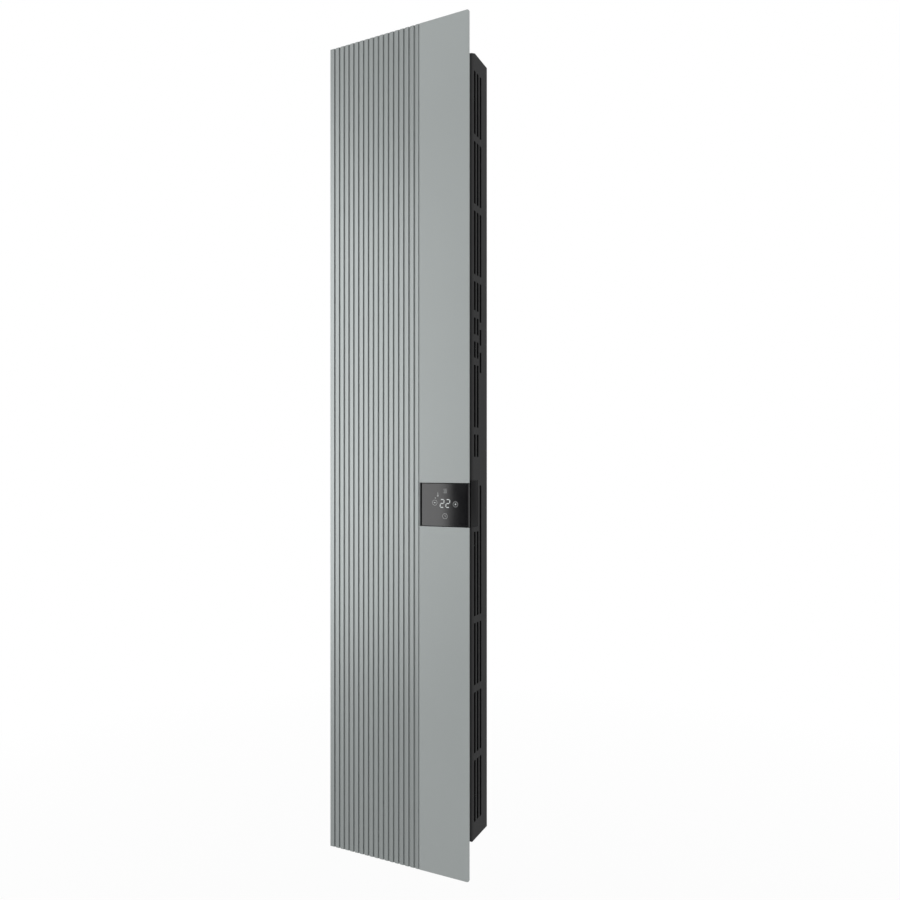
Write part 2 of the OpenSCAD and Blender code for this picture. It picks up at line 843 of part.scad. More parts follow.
module terminal_boots() {
    start = boot_end - boot_l;
    color([0.7, 0.2, 0.12]) for (i = [0, 1]) for (x = [-element_x, element_x])
        translate([x, y_element, zone_z(i)]) mirror([0, 0, i == 0 ? 1 : 0]) translate([0, 0, start]) difference() {
            cylinder(r = boot_r, h = boot_l);
            translate([0, 0, -over]) cylinder(r = rod_r + rod_bore_fit, h = boot_l / 2 + fit + over);
        }
}

// sheet shelf with windows for the air, bush holes and a flange on the tray
module element_shelves() {
    color([0.66, 0.67, 0.68]) for (i = [0, 1]) for (k = [0, 1])
        translate([0, 0, zone_z(i)]) mirror([0, 0, k]) translate([0, 0, z_zone]) difference() {
            union() {
                block([-shelf_w / 2, y_tray_in, 0], [shelf_w / 2, y_reflector, shelf_t]);
                block([-shelf_w / 2, y_tray_in, -shelf_flange / 2 + shelf_t / 2],
                      [shelf_w / 2, y_tray_in + shelf_t, shelf_flange / 2 + shelf_t / 2]);
                block([-reflector_w / 2, y_reflector - shelf_t, -shelf_flange], [reflector_w / 2, y_reflector, shelf_t]);
            }
            for (x = [-element_x, element_x])
                translate([x, y_element, -over]) cylinder(r = bush_r + fit, h = shelf_t + 2 * over);
            for (x = window_x) block([x - window.x / 2, y_element - window.y / 2, -over],
                                     [x + window.x / 2, y_element + window.y / 2, shelf_t + over]);
        }
}

module reflector(zone) {
    z = zone_z(zone);
    color([0.86, 0.87, 0.88]) difference() {
        block([-reflector_w / 2, y_reflector, z - z_zone - shelf_t],
              [reflector_w / 2, y_reflector + reflector_t, z + z_zone + shelf_t]);
        for (k = [-1, 1]) sheet(y_reflector - over, reflector_t + 2 * over)
            translate([0, z + k * z_zone / 2]) square(reflector_window, center = true);
    }
}

// bimetal limiters that stand on the shelves nearest the middle
module thermal_cutouts() {
    color([0.16, 0.16, 0.17]) for (i = [0, 1])
        translate([0, y_element, zone_z(i)]) mirror([0, 0, i == 0 ? 1 : 0]) translate([0, 0, z_zone + shelf_t]) {
            cylinder(r = cutout_r, h = cutout_h);
            for (s = [-1, 1]) block([s * cutout_r / 2 - tab_t / 2, -tab_w / 2, cutout_h],
                [s * cutout_r / 2 + tab_t / 2, tab_w / 2, cutout_h + tab_l]);
            translate([0, 0, shelf_t / 2]) cube([cutout_foot.x, cutout_foot.y, shelf_t], center = true);
        }
}

// leads from the electronics box: one to the near rod, one by way of the cutout to the far rod
element_exit_x = [x_box - box_w / 8, x_box - box_w / 4];
module element_leads() {
    tab_end = z_zone + shelf_t + bush_flange_t + cutout_h + tab_l - bush_flange_t;
    y_exit = y_box - box_d / 2;
    for (i = [0, 1]) {
        s = i == 0 ? 1 : -1;
        box_end = box_z + s * (box_h / 2 - box_t - fit);
        rod_stop = zone_z(i) - s * boot_end;
        tab_stop = zone_z(i) - s * tab_end;
        near = rod_stop - s * 2 * lead_bend;
        far = near - s * lead_step;
        color([0.5, 0.22, 0.1]) {
            lead([[element_exit_x[0], y_exit, box_end], [element_exit_x[0], y_exit, near],
                  [element_x, y_element, near], [element_x, y_element, rod_stop]], lead_bend, [0, 1, 0]);
            lead([[element_exit_x[1], y_exit, box_end], [element_exit_x[1], y_exit, far],
                  [cutout_r / 2, y_element, far], [cutout_r / 2, y_element, tab_stop]], lead_bend, [0, 1, 0]);
            lead([[-cutout_r / 2, y_element, tab_stop], [-cutout_r / 2, y_element, far],
                  [-element_x, y_element, far], [-element_x, y_element, rod_stop]], lead_bend, [0, 1, 0]);
        }
    }
}

// Electronics
module electronics_box() {
    low = [x_box - box_w / 2, y_lid, box_z - box_h / 2];
    high = [x_box + box_w / 2, y_box, box_z + box_h / 2];
    wall = [box_t, 0, box_t];
    color([0.17, 0.17, 0.18]) {
        difference() {
            block(low, high);
            block(low + wall - [0, over, 0], high - wall - [0, box_t, 0]);
            for (x = element_exit_x) for (z = [low.z, high.z - box_t])
                translate([x, y_box - box_d / 2, z - over]) cylinder(r = lead_r + rod_bore_fit, h = box_t + 2 * over);
            translate([supply_exit.x, supply_exit.y, low.z - over])
                cylinder(r = lead_r + rod_bore_fit, h = box_t + 2 * over);
            block([x_ribbon - ribbon_w / 2 - fit, y_ribbon - ribbon_t / 2 - fit, low.z - over],
                  [x_ribbon + ribbon_w / 2 + fit, y_ribbon + ribbon_t / 2 + fit, low.z + box_t + over]);
        }
        for (x = [low.x + post_inset, high.x - post_inset]) for (z = [low.z + post_inset, high.z - post_inset]) {
            pin_y(x, y_box - box_t / 2, z, post_r, post_h + box_t / 2);
            pin_y(x, y_pcb + pcb_t, z, spacer_r, pcb_gap - pcb_t + box_t / 2);
        }
    }
}

module electronics_lid() {
    low = [x_box - box_w / 2, y_lid - box_t, box_z - box_h / 2];
    high = [x_box + box_w / 2, y_lid, box_z + box_h / 2];
    lip = [box_t + fit, 0, box_t + fit];
    color([0.2, 0.2, 0.21]) difference() {
        union() {
            block(low, high);
            block(low + lip, high - lip + [0, box_t, 0]);
        }
        block(low + 2 * lip + [0, box_t, 0], high - 2 * lip + [0, box_t + over, 0]);
        for (x = film_lead_x) pin_y(x, low.y - over, film_lead_z, lead_r + rod_bore_fit, 2 * box_t + 2 * over);
    }
}

module power_board() {
    margin = box_t + 2 * fit;
    color([0.08, 0.3, 0.16]) block([x_box - box_w / 2 + margin, y_pcb, box_z - box_h / 2 + margin],
                                   [x_box + box_w / 2 - margin, y_pcb + pcb_t, box_z + box_h / 2 - margin]);
}

// component that stands on the board, centred on x and z
module on_board(x, z, size) {
    block([x - size.x / 2, y_pcb - size.y, z - size.z / 2], [x + size.x / 2, y_pcb, z + size.z / 2]);
}

module relays() {
    color([0.1, 0.12, 0.2]) for (k = [-1, 0, 1]) on_board(x_box + k * (relay.x + relay_gap), box_z + relay_rise, relay);
}

module transformer() {
    color([0.75, 0.6, 0.15]) on_board(x_box + coil_place.x, box_z + coil_place.y, coil);
}

module capacitors() {
    color([0.15, 0.16, 0.3]) for (k = [0 : 2])
        pin_y(x_box + cap_place.x, y_pcb - cap_h, box_z + cap_place.y + k * cap_pitch, cap_r, cap_h);
}

module board_connector() {
    color([0.85, 0.85, 0.8]) on_board(x_box, box_z - connector_drop, connector);
}

// row of screw terminals beside the gland, for the fixed wiring of the room
module terminal_block() {
    low = [terminal_x - terminal.x / 2, y_back_in - terminal.y, z_foot - terminal.z / 2];
    pitch = terminal.x / terminal_ways;
    color([0.9, 0.9, 0.86]) difference() {
        block(low, low + terminal);
        for (k = [0 : terminal_ways - 1])
            pin_y(low.x + pitch / 2 + k * pitch, low.y - over, z_foot, terminal_hole_r, terminal_hole_l + over);
    }
}

// supply gland: the fixed wiring of the room comes in here
module cable_gland() {
    color([0.12, 0.12, 0.13]) difference() {
        union() {
            pin_y(gland_x, y_back, z_foot, gland_flange_r, gland_flange_t);
            pin_y(gland_x, y_back + gland_flange_t - gland_l, z_foot, gland_r, gland_l - fit);
        }
        pin_y(gland_x, y_back - gland_l, z_foot, gland_bore_r, 2 * gland_l);
    }
}

module gland_nut() {
    color([0.15, 0.15, 0.16]) translate([gland_x, y_back_in, z_foot]) rotate([90, 0, 0]) difference() {
        cylinder(r = gland_nut_r, h = gland_nut_t, $fn = 6);
        translate([0, 0, -over]) cylinder(r = gland_r + rod_bore_fit, h = gland_nut_t + 2 * over);
    }
}

// inner leads from the terminals: one clipped up the back plate into the electronics box, one to the earth stud
supply_exit = [x_box - box_w / 4, y_box - box_d / 4];
supply_x = terminal_x - terminal.x / 4;
module supply_leads() {
    start = z_foot + terminal.z / 2;
    box_low = box_z - box_h / 2;
    turn = box_low - 6 * lead_bend;
    over_gland = z_foot + gland_nut_r + 2 * lead_bend;
    x_earth_way = terminal_x + terminal.x / 4;
    color([0.1, 0.2, 0.5])
        lead([[supply_x, y_lead, start], [supply_x, y_lead, turn], [supply_exit.x, y_lead, turn],
              [supply_exit.x, supply_exit.y, turn + 3 * lead_bend],
              [supply_exit.x, supply_exit.y, box_low + box_t + fit]], lead_bend, [0, 1, 0]);
    color([0.3, 0.5, 0.12])
        lead([[x_earth_way, y_lead, start], [x_earth_way, y_lead, over_gland], [earth_x, y_lead, over_gland],
              [earth_x, y_lead, z_foot + nut_r * cos(30)]], lead_bend, [0, 1, 0]);
}

module lead_clips() {
    color([0.85, 0.85, 0.82]) for (s = clip_shares) difference() {
        block([supply_x - clip.x / 2, y_back_in - clip.y, s * z_end - clip.z / 2],
              [supply_x + clip.x / 2, y_back_in, s * z_end + clip.z / 2]);
        translate([supply_x, y_lead, s * z_end - clip.z]) cylinder(r = lead_r + rod_bore_fit, h = 2 * clip.z);
    }
}

module earth_stud() {
    color([0.8, 0.65, 0.3]) {
        pin_y(earth_x, y_back_in - earth_l, z_foot, earth_r, earth_l + back_t);
        translate([earth_x, y_back_in, z_foot]) rotate([90, 0, 0]) cylinder(r = nut_r, h = nut_t, $fn = 6);
        pin_y(earth_x, y_back, z_foot, nut_r, back_t);
    }
}

module film_leads() {
    color([0.72, 0.72, 0.7]) for (x = film_lead_x) pin_y(x, y_film, film_lead_z, lead_r, y_lid - y_film + box_t);
}

module film_grommets() {
    color([0.05, 0.05, 0.05]) for (x = film_lead_x) difference() {
        union() {
            pin_y(x, y_tray, film_lead_z, grommet_r - fit / 2, tray_t);
            for (y = [y_tray - grommet_t, y_tray_in]) pin_y(x, y, film_lead_z, grommet_r + grommet_lap, grommet_t);
        }
        pin_y(x, y_tray - stand_off, film_lead_z, lead_r + rod_bore_fit, 2 * stand_off);
    }
}

// Control unit: the housing fills the notch and wraps round the edge onto the side of the chassis
module side_block_2d() {
    y_front = y_tray - block_lead;
    x_left = x_block - side_block_w;
    translate([x_left, y_flange]) square([side_block_w - neck_in, y_block - y_flange]);
    translate([x_left, y_front]) square([side_block_w, y_block - y_front - block_r]);
    translate([x_left, y_front]) square([side_block_w - block_r, y_block - y_front]);
    translate([x_block - block_r, y_block - block_r]) circle(block_r);
}

module control_housing() {
    x_left = x_notch + shadow_gap;
    x_right = panel_w / 2 - edge_set;
    y_rear = y_tray - housing_back;
    z_low = z_notch - glass_h / 2;
    z_high = z_notch + glass_h / 2;
    color([0.03, 0.03, 0.035]) difference() {
        union() {
            block([x_left, y_housing, z_low], [x_right, y_flange, z_high]);
            block([x_left, y_housing, z_low], [x_neck, y_rear, z_high]);
            block([x_notch - flange_lap, y_flange, z_notch - notch_h / 2 - flange_lap],
                  [x_neck, y_flange + housing_t, z_notch + notch_h / 2 + flange_lap]);
            translate([0, 0, z_block_low]) linear_extrude(height = block_h) side_block_2d();
        }
        // space for the display board, open towards the glass
        block([x_left + housing_t, y_housing - over, z_low + housing_t],
              [x_neck - housing_t, y_rear - housing_t, z_high - housing_t]);
        // way from there through the neck into the side block
        block([x_block - side_block_w + housing_t, y_rear - housing_t - over, z_low + housing_t],
              [x_neck - housing_t, y_block - housing_t, z_high - housing_t]);
        block([x_block - side_block_w + housing_t, y_tray - block_lead + housing_t, z_low + housing_t],
              [x_block - housing_t - block_proud, y_block - block_r, z_high - housing_t]);
        // slit for the flat cable, all the way from the display board
        block([x_ribbon - ribbon_w / 2 - fit, y_display, z_ribbon - fit],
              [x_ribbon + ribbon_w / 2 + fit, y_block + over, z_ribbon + ribbon_t + fit]);
    }
}

// the glass turns round the right edge of the panel on a small radius
module touch_glass() {
    x_left = x_notch + shadow_gap;
    w = panel_w / 2 - edge_set - x_left;
    color([0.02, 0.02, 0.022]) translate([x_left, y_glass, z_notch - glass_h / 2]) linear_extrude(height = glass_h) {
        translate([0, glass_edge_r]) square([w, glass_t - glass_edge_r]);
        square([w - glass_edge_r, glass_t]);
        translate([w - glass_edge_r, glass_edge_r]) intersection() {
            circle(glass_edge_r);
            translate([0, -glass_edge_r]) square([glass_edge_r, glass_edge_r]);
        }
    }
}

y_display = y_housing + board_set;

module display_board() {
    x_left = x_notch + shadow_gap + housing_t + fit;
    x_right = x_neck - housing_t - fit;
    color([0.05, 0.25, 0.14]) block([x_left, y_display, z_notch - glass_h / 2 + housing_t + fit],
                                    [x_right, y_display + pcb_t, z_notch + glass_h / 2 - housing_t - fit]);
}

module digit_module() {
    x = x_notch + notch_w / 2;
    color([0.15, 0.15, 0.15]) block([x - digit_w / 2, y_housing, z_notch - digit_h / 2], [x + digit_w / 2, y_display, z_notch + digit_h / 2]);
}

// flat cable from the display board through the side block up into the electronics box
module display_ribbon() {
    left = x_ribbon - ribbon_w / 2;
    right = x_ribbon + ribbon_w / 2;
    color([0.75, 0.75, 0.75]) {
        block([left, y_display + pcb_t, z_ribbon], [right, y_ribbon + ribbon_t / 2, z_ribbon + ribbon_t]);
        block([left, y_ribbon - ribbon_t / 2, z_ribbon], [right, y_ribbon + ribbon_t / 2, box_z - box_h / 2 + 2 * box_t]);
    }
}

z_sensor = -z_end + wall_t + sensor_block.z / 2;

module room_sensor() {
    color([0.12, 0.12, 0.12]) pin_y(sensor_x, y_element - sensor_l / 2, z_sensor, sensor_r, sensor_l);
}

module sensor_clip() {
    color([0.85, 0.85, 0.82]) difference() {
        translate([sensor_x, y_element, z_sensor]) cube(sensor_block, center = true);
        pin_y(sensor_x, y_element - sensor_l / 2, z_sensor, sensor_r + rod_bore_fit, sensor_l);
    }
}

// Power switch: its frame hangs below the bottom cap and the rocker faces down
z_bezel = -z_end - bezel.z;

module switch_housing() {
    color([0.04, 0.04, 0.045]) translate([switch_x, y_switch, z_bezel]) {
        difference() {
            union() {
                block([-bezel.x / 2, -bezel.y / 2, 0], [bezel.x / 2, bezel.y / 2, bezel.z]);
                block([-switch_body.x / 2, -switch_body.y / 2, 0], [switch_body.x / 2, switch_body.y / 2, switch_body.z]);
            }
            block([-switch_cavity.x / 2, -switch_cavity.y / 2, -over], [switch_cavity.x / 2, switch_cavity.y / 2, switch_cavity.z]);
            pin_y(0, -switch_body.y, rocker_pivot, rocker_pin_r + rocker_pin_fit, 2 * switch_body.y);
        }
        for (k = [-1, 0, 1]) block([k * switch_body.x / 3 - tab_t / 2, -tab_w / 2, switch_body.z],
            [k * switch_body.x / 3 + tab_t / 2, tab_w / 2, switch_body.z + tab_l]);
    }
}

module switch_rocker() {
    color([0.6, 0.08, 0.06]) translate([switch_x, y_switch, z_bezel + rocker_pivot]) rotate([0, -rocker_tilt, 0])
        translate([0, 0, -rocker_pivot]) {
            rotate([90, 0, 0]) translate([0, 0, -rocker_w / 2]) linear_extrude(height = rocker_w) polygon([
                [-rocker_half, -rocker_rise], [0, 0], [rocker_half, -rocker_rise],
                [rocker_half, rocker_pivot], [rocker_foot, rocker_depth], [-rocker_foot, rocker_depth], [-rocker_half, rocker_pivot]
            ]);
            pin_y(0, -switch_body.y / 2 + fit, rocker_pivot, rocker_pin_r, switch_body.y - 2 * fit);
        }
}

// Wall brackets
module wall_screw_holes(z) {
    for (x = [-screw_dx / 2, screw_dx / 2]) pin_y(x, -bracket_t - over, z, wall_hole_r, bracket_t + 2 * over);
}

// plate of a wall bracket with four rounded corners
module wall_plate_2d() {
    for (s = [-1, 1]) rotate(90 - 90 * s) translate([0, -wall_plate_h / 2])
        right_rounded_2d(wall_plate_w / 2, wall_plate_h, plate_corner_r);
}

// hook in side view: a notch for the back plate between the shoulder and the nose
module hook_2d() {
    y_in = y_back_in - reinforcer_t - hook_gap;
    y_out = y_back + hook_gap;
    polygon([
        [-bracket_t / 2, z_seat - 2 * hook_arm], [-bracket_t / 2, z_seat + hook_nose], [y_out, z_seat + hook_nose],
        [y_out, z_seat], [y_in, z_seat], [y_in, z_seat + hook_nose], [y_in - hook_tip / 2, z_seat + hook_nose],
        [y_in - hook_tip, z_seat + hook_nose / 2], [y_in - hook_tip, z_seat - hook_arm + slot_play],
        [y_out, z_seat - hook_arm], [y_out, z_seat - hook_arm - slot_play]
    ]);
}

module upper_wall_bracket() {
    color([0.62, 0.63, 0.64]) difference() {
        union() {
            sheet(-bracket_t, bracket_t) translate([0, z_screw]) wall_plate_2d();
            for (x = [-hook_x, hook_x]) along_x(x, hook_t) hook_2d();
        }
        wall_screw_holes(z_screw);
    }
}

module lower_wall_bracket() {
    color([0.62, 0.63, 0.64]) difference() {
        union() {
            sheet(-bracket_t, bracket_t) {
                translate([0, -z_screw]) wall_plate_2d();
                translate([-tab_reach, z_pivot - tab_reach]) square([2 * tab_reach, tab_reach + pivot_drop]);
            }
            pin_y(0, y_boss, z_pivot, boss_r, boss_h + bracket_t / 2);
        }
        wall_screw_holes(-z_screw);
    }
}

// headed pin that the lock lever turns on
module lock_pivot() {
    color([0.75, 0.75, 0.77]) {
        pin_y(0, y_lever - lever_t - lever_gap, z_pivot, pivot_r, lever_t + lever_gap * 2);
        pin_y(0, y_lever - lever_t - lever_gap - pivot_head_t, z_pivot, pivot_head_r, pivot_head_t);
    }
}

module lock_lever() {
    color([0.72, 0.73, 0.74]) difference() {
        union() {
            pin_y(0, y_lever - lever_t, z_pivot, lever_hub_r, lever_t);
            block([0, y_lever - lever_t, z_pivot - tongue_w / 2], [tongue_l, y_lever, z_pivot + tongue_w / 2]);
            block([-lever_w / 2, y_lever - lever_t, z_pivot - lever_l], [lever_w / 2, y_lever, z_pivot]);
        }
        pin_y(0, y_lever - lever_t - over, z_pivot, pivot_r + pivot_fit, lever_t + 2 * over);
    }
}

// soft sleeve on the end of the lever
module lever_grip() {
    low = [-lever_w / 2, y_lever - lever_t, z_pivot - lever_l];
    high = [lever_w / 2, y_lever, z_pivot - lever_l + grip_l];
    play = [grip_fit, grip_fit, grip_fit];
    color([0.75, 0.1, 0.08]) difference() {
        block(low - [grip_t, grip_skin, grip_t], high + [grip_t, grip_skin, 0]);
        block(low - play, high + play + [0, 0, over]);
    }
}

front_panel();
radiant_film();
insulation_boards();
panel_rails();
rail_screws();
front_tray();
side_grille_right();
side_grille_left();
top_cap();
bottom_cap();
chassis_back();
back_screws();
hook_reinforcers();
lock_keeper();
wall_buffers();
convector(0, 1);  // convector_upper_right
convector(0, -1);  // convector_upper_left
convector(1, 1);  // convector_lower_right
convector(1, -1);  // convector_lower_left
heating_rods();
rod_insulators();
terminal_boots();
element_shelves();
reflector(0);  // reflector_upper
reflector(1);  // reflector_lower
thermal_cutouts();
element_leads();
electronics_box();
electronics_lid();
power_board();
relays();
transformer();
capacitors();
board_connector();
terminal_block();
cable_gland();
gland_nut();
supply_leads();
lead_clips();
earth_stud();
film_leads();
film_grommets();
control_housing();
touch_glass();
display_board();
digit_module();
display_ribbon();
room_sensor();
sensor_clip();
switch_housing();
switch_rocker();
upper_wall_bracket();
lower_wall_bracket();
lock_pivot();
lock_lever();
lever_grip();
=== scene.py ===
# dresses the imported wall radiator: ribbed front panel, slotted black chassis, touch control,
# wall brackets and lock
import json
import math
import bpy
import bmesh
import numpy as np
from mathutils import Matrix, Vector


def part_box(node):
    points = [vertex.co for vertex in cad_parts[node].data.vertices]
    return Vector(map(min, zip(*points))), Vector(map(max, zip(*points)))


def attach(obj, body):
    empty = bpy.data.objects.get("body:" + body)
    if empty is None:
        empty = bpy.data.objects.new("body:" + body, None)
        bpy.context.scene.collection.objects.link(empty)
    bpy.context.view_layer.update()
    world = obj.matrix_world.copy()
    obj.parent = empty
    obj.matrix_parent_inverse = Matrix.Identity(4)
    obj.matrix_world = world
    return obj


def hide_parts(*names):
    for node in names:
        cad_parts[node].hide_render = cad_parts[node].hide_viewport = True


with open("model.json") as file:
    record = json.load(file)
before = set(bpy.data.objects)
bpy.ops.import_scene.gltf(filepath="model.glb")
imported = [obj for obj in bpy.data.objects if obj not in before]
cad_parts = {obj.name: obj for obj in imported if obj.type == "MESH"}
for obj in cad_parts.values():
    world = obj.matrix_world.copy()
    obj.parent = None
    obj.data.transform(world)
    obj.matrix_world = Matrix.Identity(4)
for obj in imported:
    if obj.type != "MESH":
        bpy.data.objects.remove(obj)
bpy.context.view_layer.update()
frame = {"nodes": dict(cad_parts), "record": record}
nodes = frame["nodes"]
scene = bpy.context.scene
print("frame loaded:", len(nodes), "nodes")


# camera: level, at the right front of the panel
camera = {
    "place": (0.8101, -1.5117, -0.0471),
    "turn": 25.98,        # degrees to the left of straight at the wall
    "lens": 29.86, "sensor": 36,     # mm
    "riseShare": 0.0207,  # lens shift that puts the horizon just below the middle
    "nearest": 0.01,
}


def placeCamera():
    # a turn of 90 degrees about x makes the view level
    data = bpy.data.cameras.new("viewCamera")
    data.lens = camera["lens"]
    data.sensor_width = camera["sensor"]
    data.shift_y = camera["riseShare"]
    data.clip_start = camera["nearest"]
    holder = bpy.data.objects.new("viewCamera", data)
    holder.location = camera["place"]
    holder.rotation_euler = (math.radians(90), 0, math.radians(camera["turn"]))
    scene.collection.objects.link(holder)
    scene.camera = holder


placeCamera()
print("camera placed")


# materials

def makeTree(name):
    # a new material with its node tree and its shader
    material = bpy.data.materials.new(name)
    material.use_nodes = True
    tree = material.node_tree
    return material, tree, tree.nodes["Principled BSDF"]


def setInputs(tree, node, inputs):
    # a socket is linked, anything else is a constant on the node's own socket
    for key, value in inputs.items():
        if isinstance(value, bpy.types.NodeSocket):
            tree.links.new(value, node.inputs[key])
        else:
            node.inputs[key].default_value = value


def addNode(tree, kind, inputs=None, **settings):
    # settings come first, because some of them decide which sockets the node has
    node = tree.nodes.new("ShaderNode" + kind)
    for key, value in settings.items():
        setattr(node, key, value)
    setInputs(tree, node, inputs or {})
    return node


def objectPoint(tree, stretch=(1, 1, 1)):
    # object coordinates times a stretch, so a grain can run along one axis
    point = addNode(tree, "TexCoord")
    return addNode(tree, "Mapping", {"Vector": point.outputs["Object"], "Scale": stretch}).outputs["Vector"]


def noise(tree, scale, stretch=(1, 1, 1), detail=3.0):
    # noise that sticks to the object, so it moves along with its body
    inputs = {"Vector": objectPoint(tree, stretch), "Scale": scale, "Detail": detail, "Roughness": 0.55}
    return addNode(tree, "TexNoise", inputs).outputs["Fac"]


def spread(tree, value, low, high, start=0.3, stop=0.7):
    # value from start..stop, where most of a noise lies, to low..high, limited at both ends
    inputs = {"Value": value, "From Min": start, "From Max": stop, "To Min": low, "To Max": high}
    return addNode(tree, "MapRange", inputs).outputs["Result"]


def blendColour(tree, share, first, second):
    # share 0 gives the first colour, 1 the second; the colour sockets of the node are 6 and 7
    return addNode(tree, "Mix", {0: share, 6: first, 7: second}, data_type="RGBA").outputs[2]


def colour(rgb, gain=1.0):
    # an opaque colour, brighter or darker by the gain
    return tuple(min(1.0, c * gain) for c in rgb) + (1.0,)


def addBump(tree, shader, height, depth):
    # relief of the given depth in metres
    bump = addNode(tree, "Bump", {"Height": height, "Distance": depth, "Strength": 1.0})
    setInputs(tree, shader, {"Normal": bump.outputs["Normal"]})


def grainedFinish(name, look):
    # two shades in soft clouds, darkened by a fine grain that roughness and relief follow too
    material, tree, shader = makeTree(name)
    rgb, play = look["rgb"], look["mottle"]
    mottle = spread(tree, noise(tree, look["mottleScale"], detail=4.0), 0.0, 1.0)
    grain = noise(tree, look["grainScale"], look.get("stretch", (1, 1, 1)))
    shade = blendColour(tree, mottle, colour(rgb, 1 - play), colour(rgb, 1 + play))
    dark = spread(tree, grain, 0.0, look["grainShade"])
    rough, roughPlay = look["roughness"], look["roughPlay"]
    setInputs(tree, shader, {
        "Base Color": blendColour(tree, dark, shade, colour(rgb, look.get("grainGain", 0.6))),
        "Roughness": spread(tree, grain, rough - roughPlay, rough + roughPlay),
        "Metallic": look.get("metallic", 0.0),
        "Coat Weight": look.get("coat", 0.0),
        "Coat Roughness": 0.2,
        "Specular IOR Level": look.get("specular", 0.5),
    })
    addBump(tree, shader, grain, look["relief"])
    return material


looks = {
    "blackSheet": dict(
        rgb=(0.019, 0.0192, 0.0198), mottleScale=6, mottle=0.12, grainScale=1500, grainShade=0.25,
        roughness=0.68, roughPlay=0.06, relief=0.00004, specular=0.16),
    "blackPlastic": dict(
        rgb=(0.008, 0.008, 0.0085), mottleScale=12, mottle=0.1, grainScale=2600, grainShade=0.2,
        roughness=0.55, roughPlay=0.05, relief=0.00002, specular=0.05),
    "brightAluminium": dict(
        rgb=(0.74, 0.75, 0.77), mottleScale=8, mottle=0.05, grainScale=1200, grainShade=0.2,
        grainGain=0.8, stretch=(1, 1, 0.01), roughness=0.32, roughPlay=0.07, relief=0.00001, metallic=1.0),
    "blackAluminium": dict(
        rgb=(0.011, 0.011, 0.0115), mottleScale=10, mottle=0.1, grainScale=1800, grainShade=0.2,
        stretch=(1, 1, 0.05), roughness=0.55, roughPlay=0.06, relief=0.00001, specular=0.15),
    "ceramic": dict(
        rgb=(0.82, 0.8, 0.74), mottleScale=90, mottle=0.05, grainScale=1800, grainShade=0.15,
        grainGain=0.85, roughness=0.28, roughPlay=0.05, relief=0.00001, coat=0.4),
    "siliconeRed": dict(
        rgb=(0.5, 0.09, 0.05), mottleScale=40, mottle=0.1, grainScale=1500, grainShade=0.2,
        roughness=0.55, roughPlay=0.06, relief=0.00002),
    "rubberBlack": dict(
        rgb=(0.022, 0.022, 0.022), mottleScale=50, mottle=0.15, grainScale=1700, grainShade=0.3,
        roughness=0.72, roughPlay=0.08, relief=0.00004),
    "blackScrew": dict(
        rgb=(0.06, 0.06, 0.065), mottleScale=200, mottle=0.2, grainScale=2200, grainShade=0.3,
        roughness=0.4, roughPlay=0.08, relief=0.00001, metallic=0.85),
    "componentPlastic": dict(
        rgb=(0.05, 0.07, 0.13), mottleScale=70, mottle=0.1, grainScale=1800, grainShade=0.15,
        roughness=0.35, roughPlay=0.05, relief=0.00001, coat=0.2),
    "ivoryPlastic": dict(
        rgb=(0.75, 0.73, 0.66), mottleScale=60, mottle=0.05, grainScale=1800, grainShade=0.1,
        grainGain=0.85, roughness=0.45, roughPlay=0.05, relief=0.00001),
    "wireSleeve": dict(
        rgb=(0.34, 0.12, 0.05), mottleScale=80, mottle=0.12, grainScale=1500, grainShade=0.2,
        roughness=0.5, roughPlay=0.06, relief=0.00001),
    "ribbonGrey": dict(
        rgb=(0.5, 0.5, 0.5), mottleScale=30, mottle=0.04, grainScale=600, grainShade=0.45,
        stretch=(1, 0.02, 0.02), roughness=0.45, roughPlay=0.05, relief=0.0001),
    "signalRed": dict(
        rgb=(0.42, 0.03, 0.02), mottleScale=50, mottle=0.08, grainScale=1600, grainShade=0.15,
        roughness=0.35, roughPlay=0.05, relief=0.00001, coat=0.3),
    "brass": dict(
        rgb=(0.65, 0.47, 0.2), mottleScale=100, mottle=0.08, grainScale=1500, grainShade=0.2,
        grainGain=0.75, roughness=0.3, roughPlay=0.07, relief=0.00001, metallic=1.0),
    "whitePrint": dict(
        rgb=(0.78, 0.78, 0.76), mottleScale=90, mottle=0.04, grainScale=1800, grainShade=0.15,
        grainGain=0.85, roughness=0.5, roughPlay=0.05, relief=0.00001),
    "rockWool": dict(
        rgb=(0.7, 0.66, 0.5), mottleScale=25, mottle=0.12, grainScale=500, grainShade=0.4,
        stretch=(1, 1, 0.2), roughness=0.9, roughPlay=0.05, relief=0.0004),
}


panelPaint = {
    "rgb": (0.335, 0.36, 0.357),
    "ribEdge": 0.055, "ribBlend": 0.001,          # x where the ribbed field ends, width of the change
    "skinBack": -0.1085, "skinBlend": 0.0003,     # y behind which the whole panel has the plain finish
    "cloudScale": 2.2, "cloud": 0.03,
    "flakeScale": 5200, "flakeShade": 0.22, "flakeBand": (0.45, 0.75), "flakeGain": 1.5,
    # plain finish, ribs: the ribs' darker base colour is painted shade; the ribs are also more metallic and
    # glossier than the plain strip
    "gain": (0.985, 0.795),
    "metallic": (0.24, 0.7),
    "roughness": (0.5, 0.4), "roughPlay": 0.04,
    "peelScale": 850, "peelDepth": 0.000012,
}


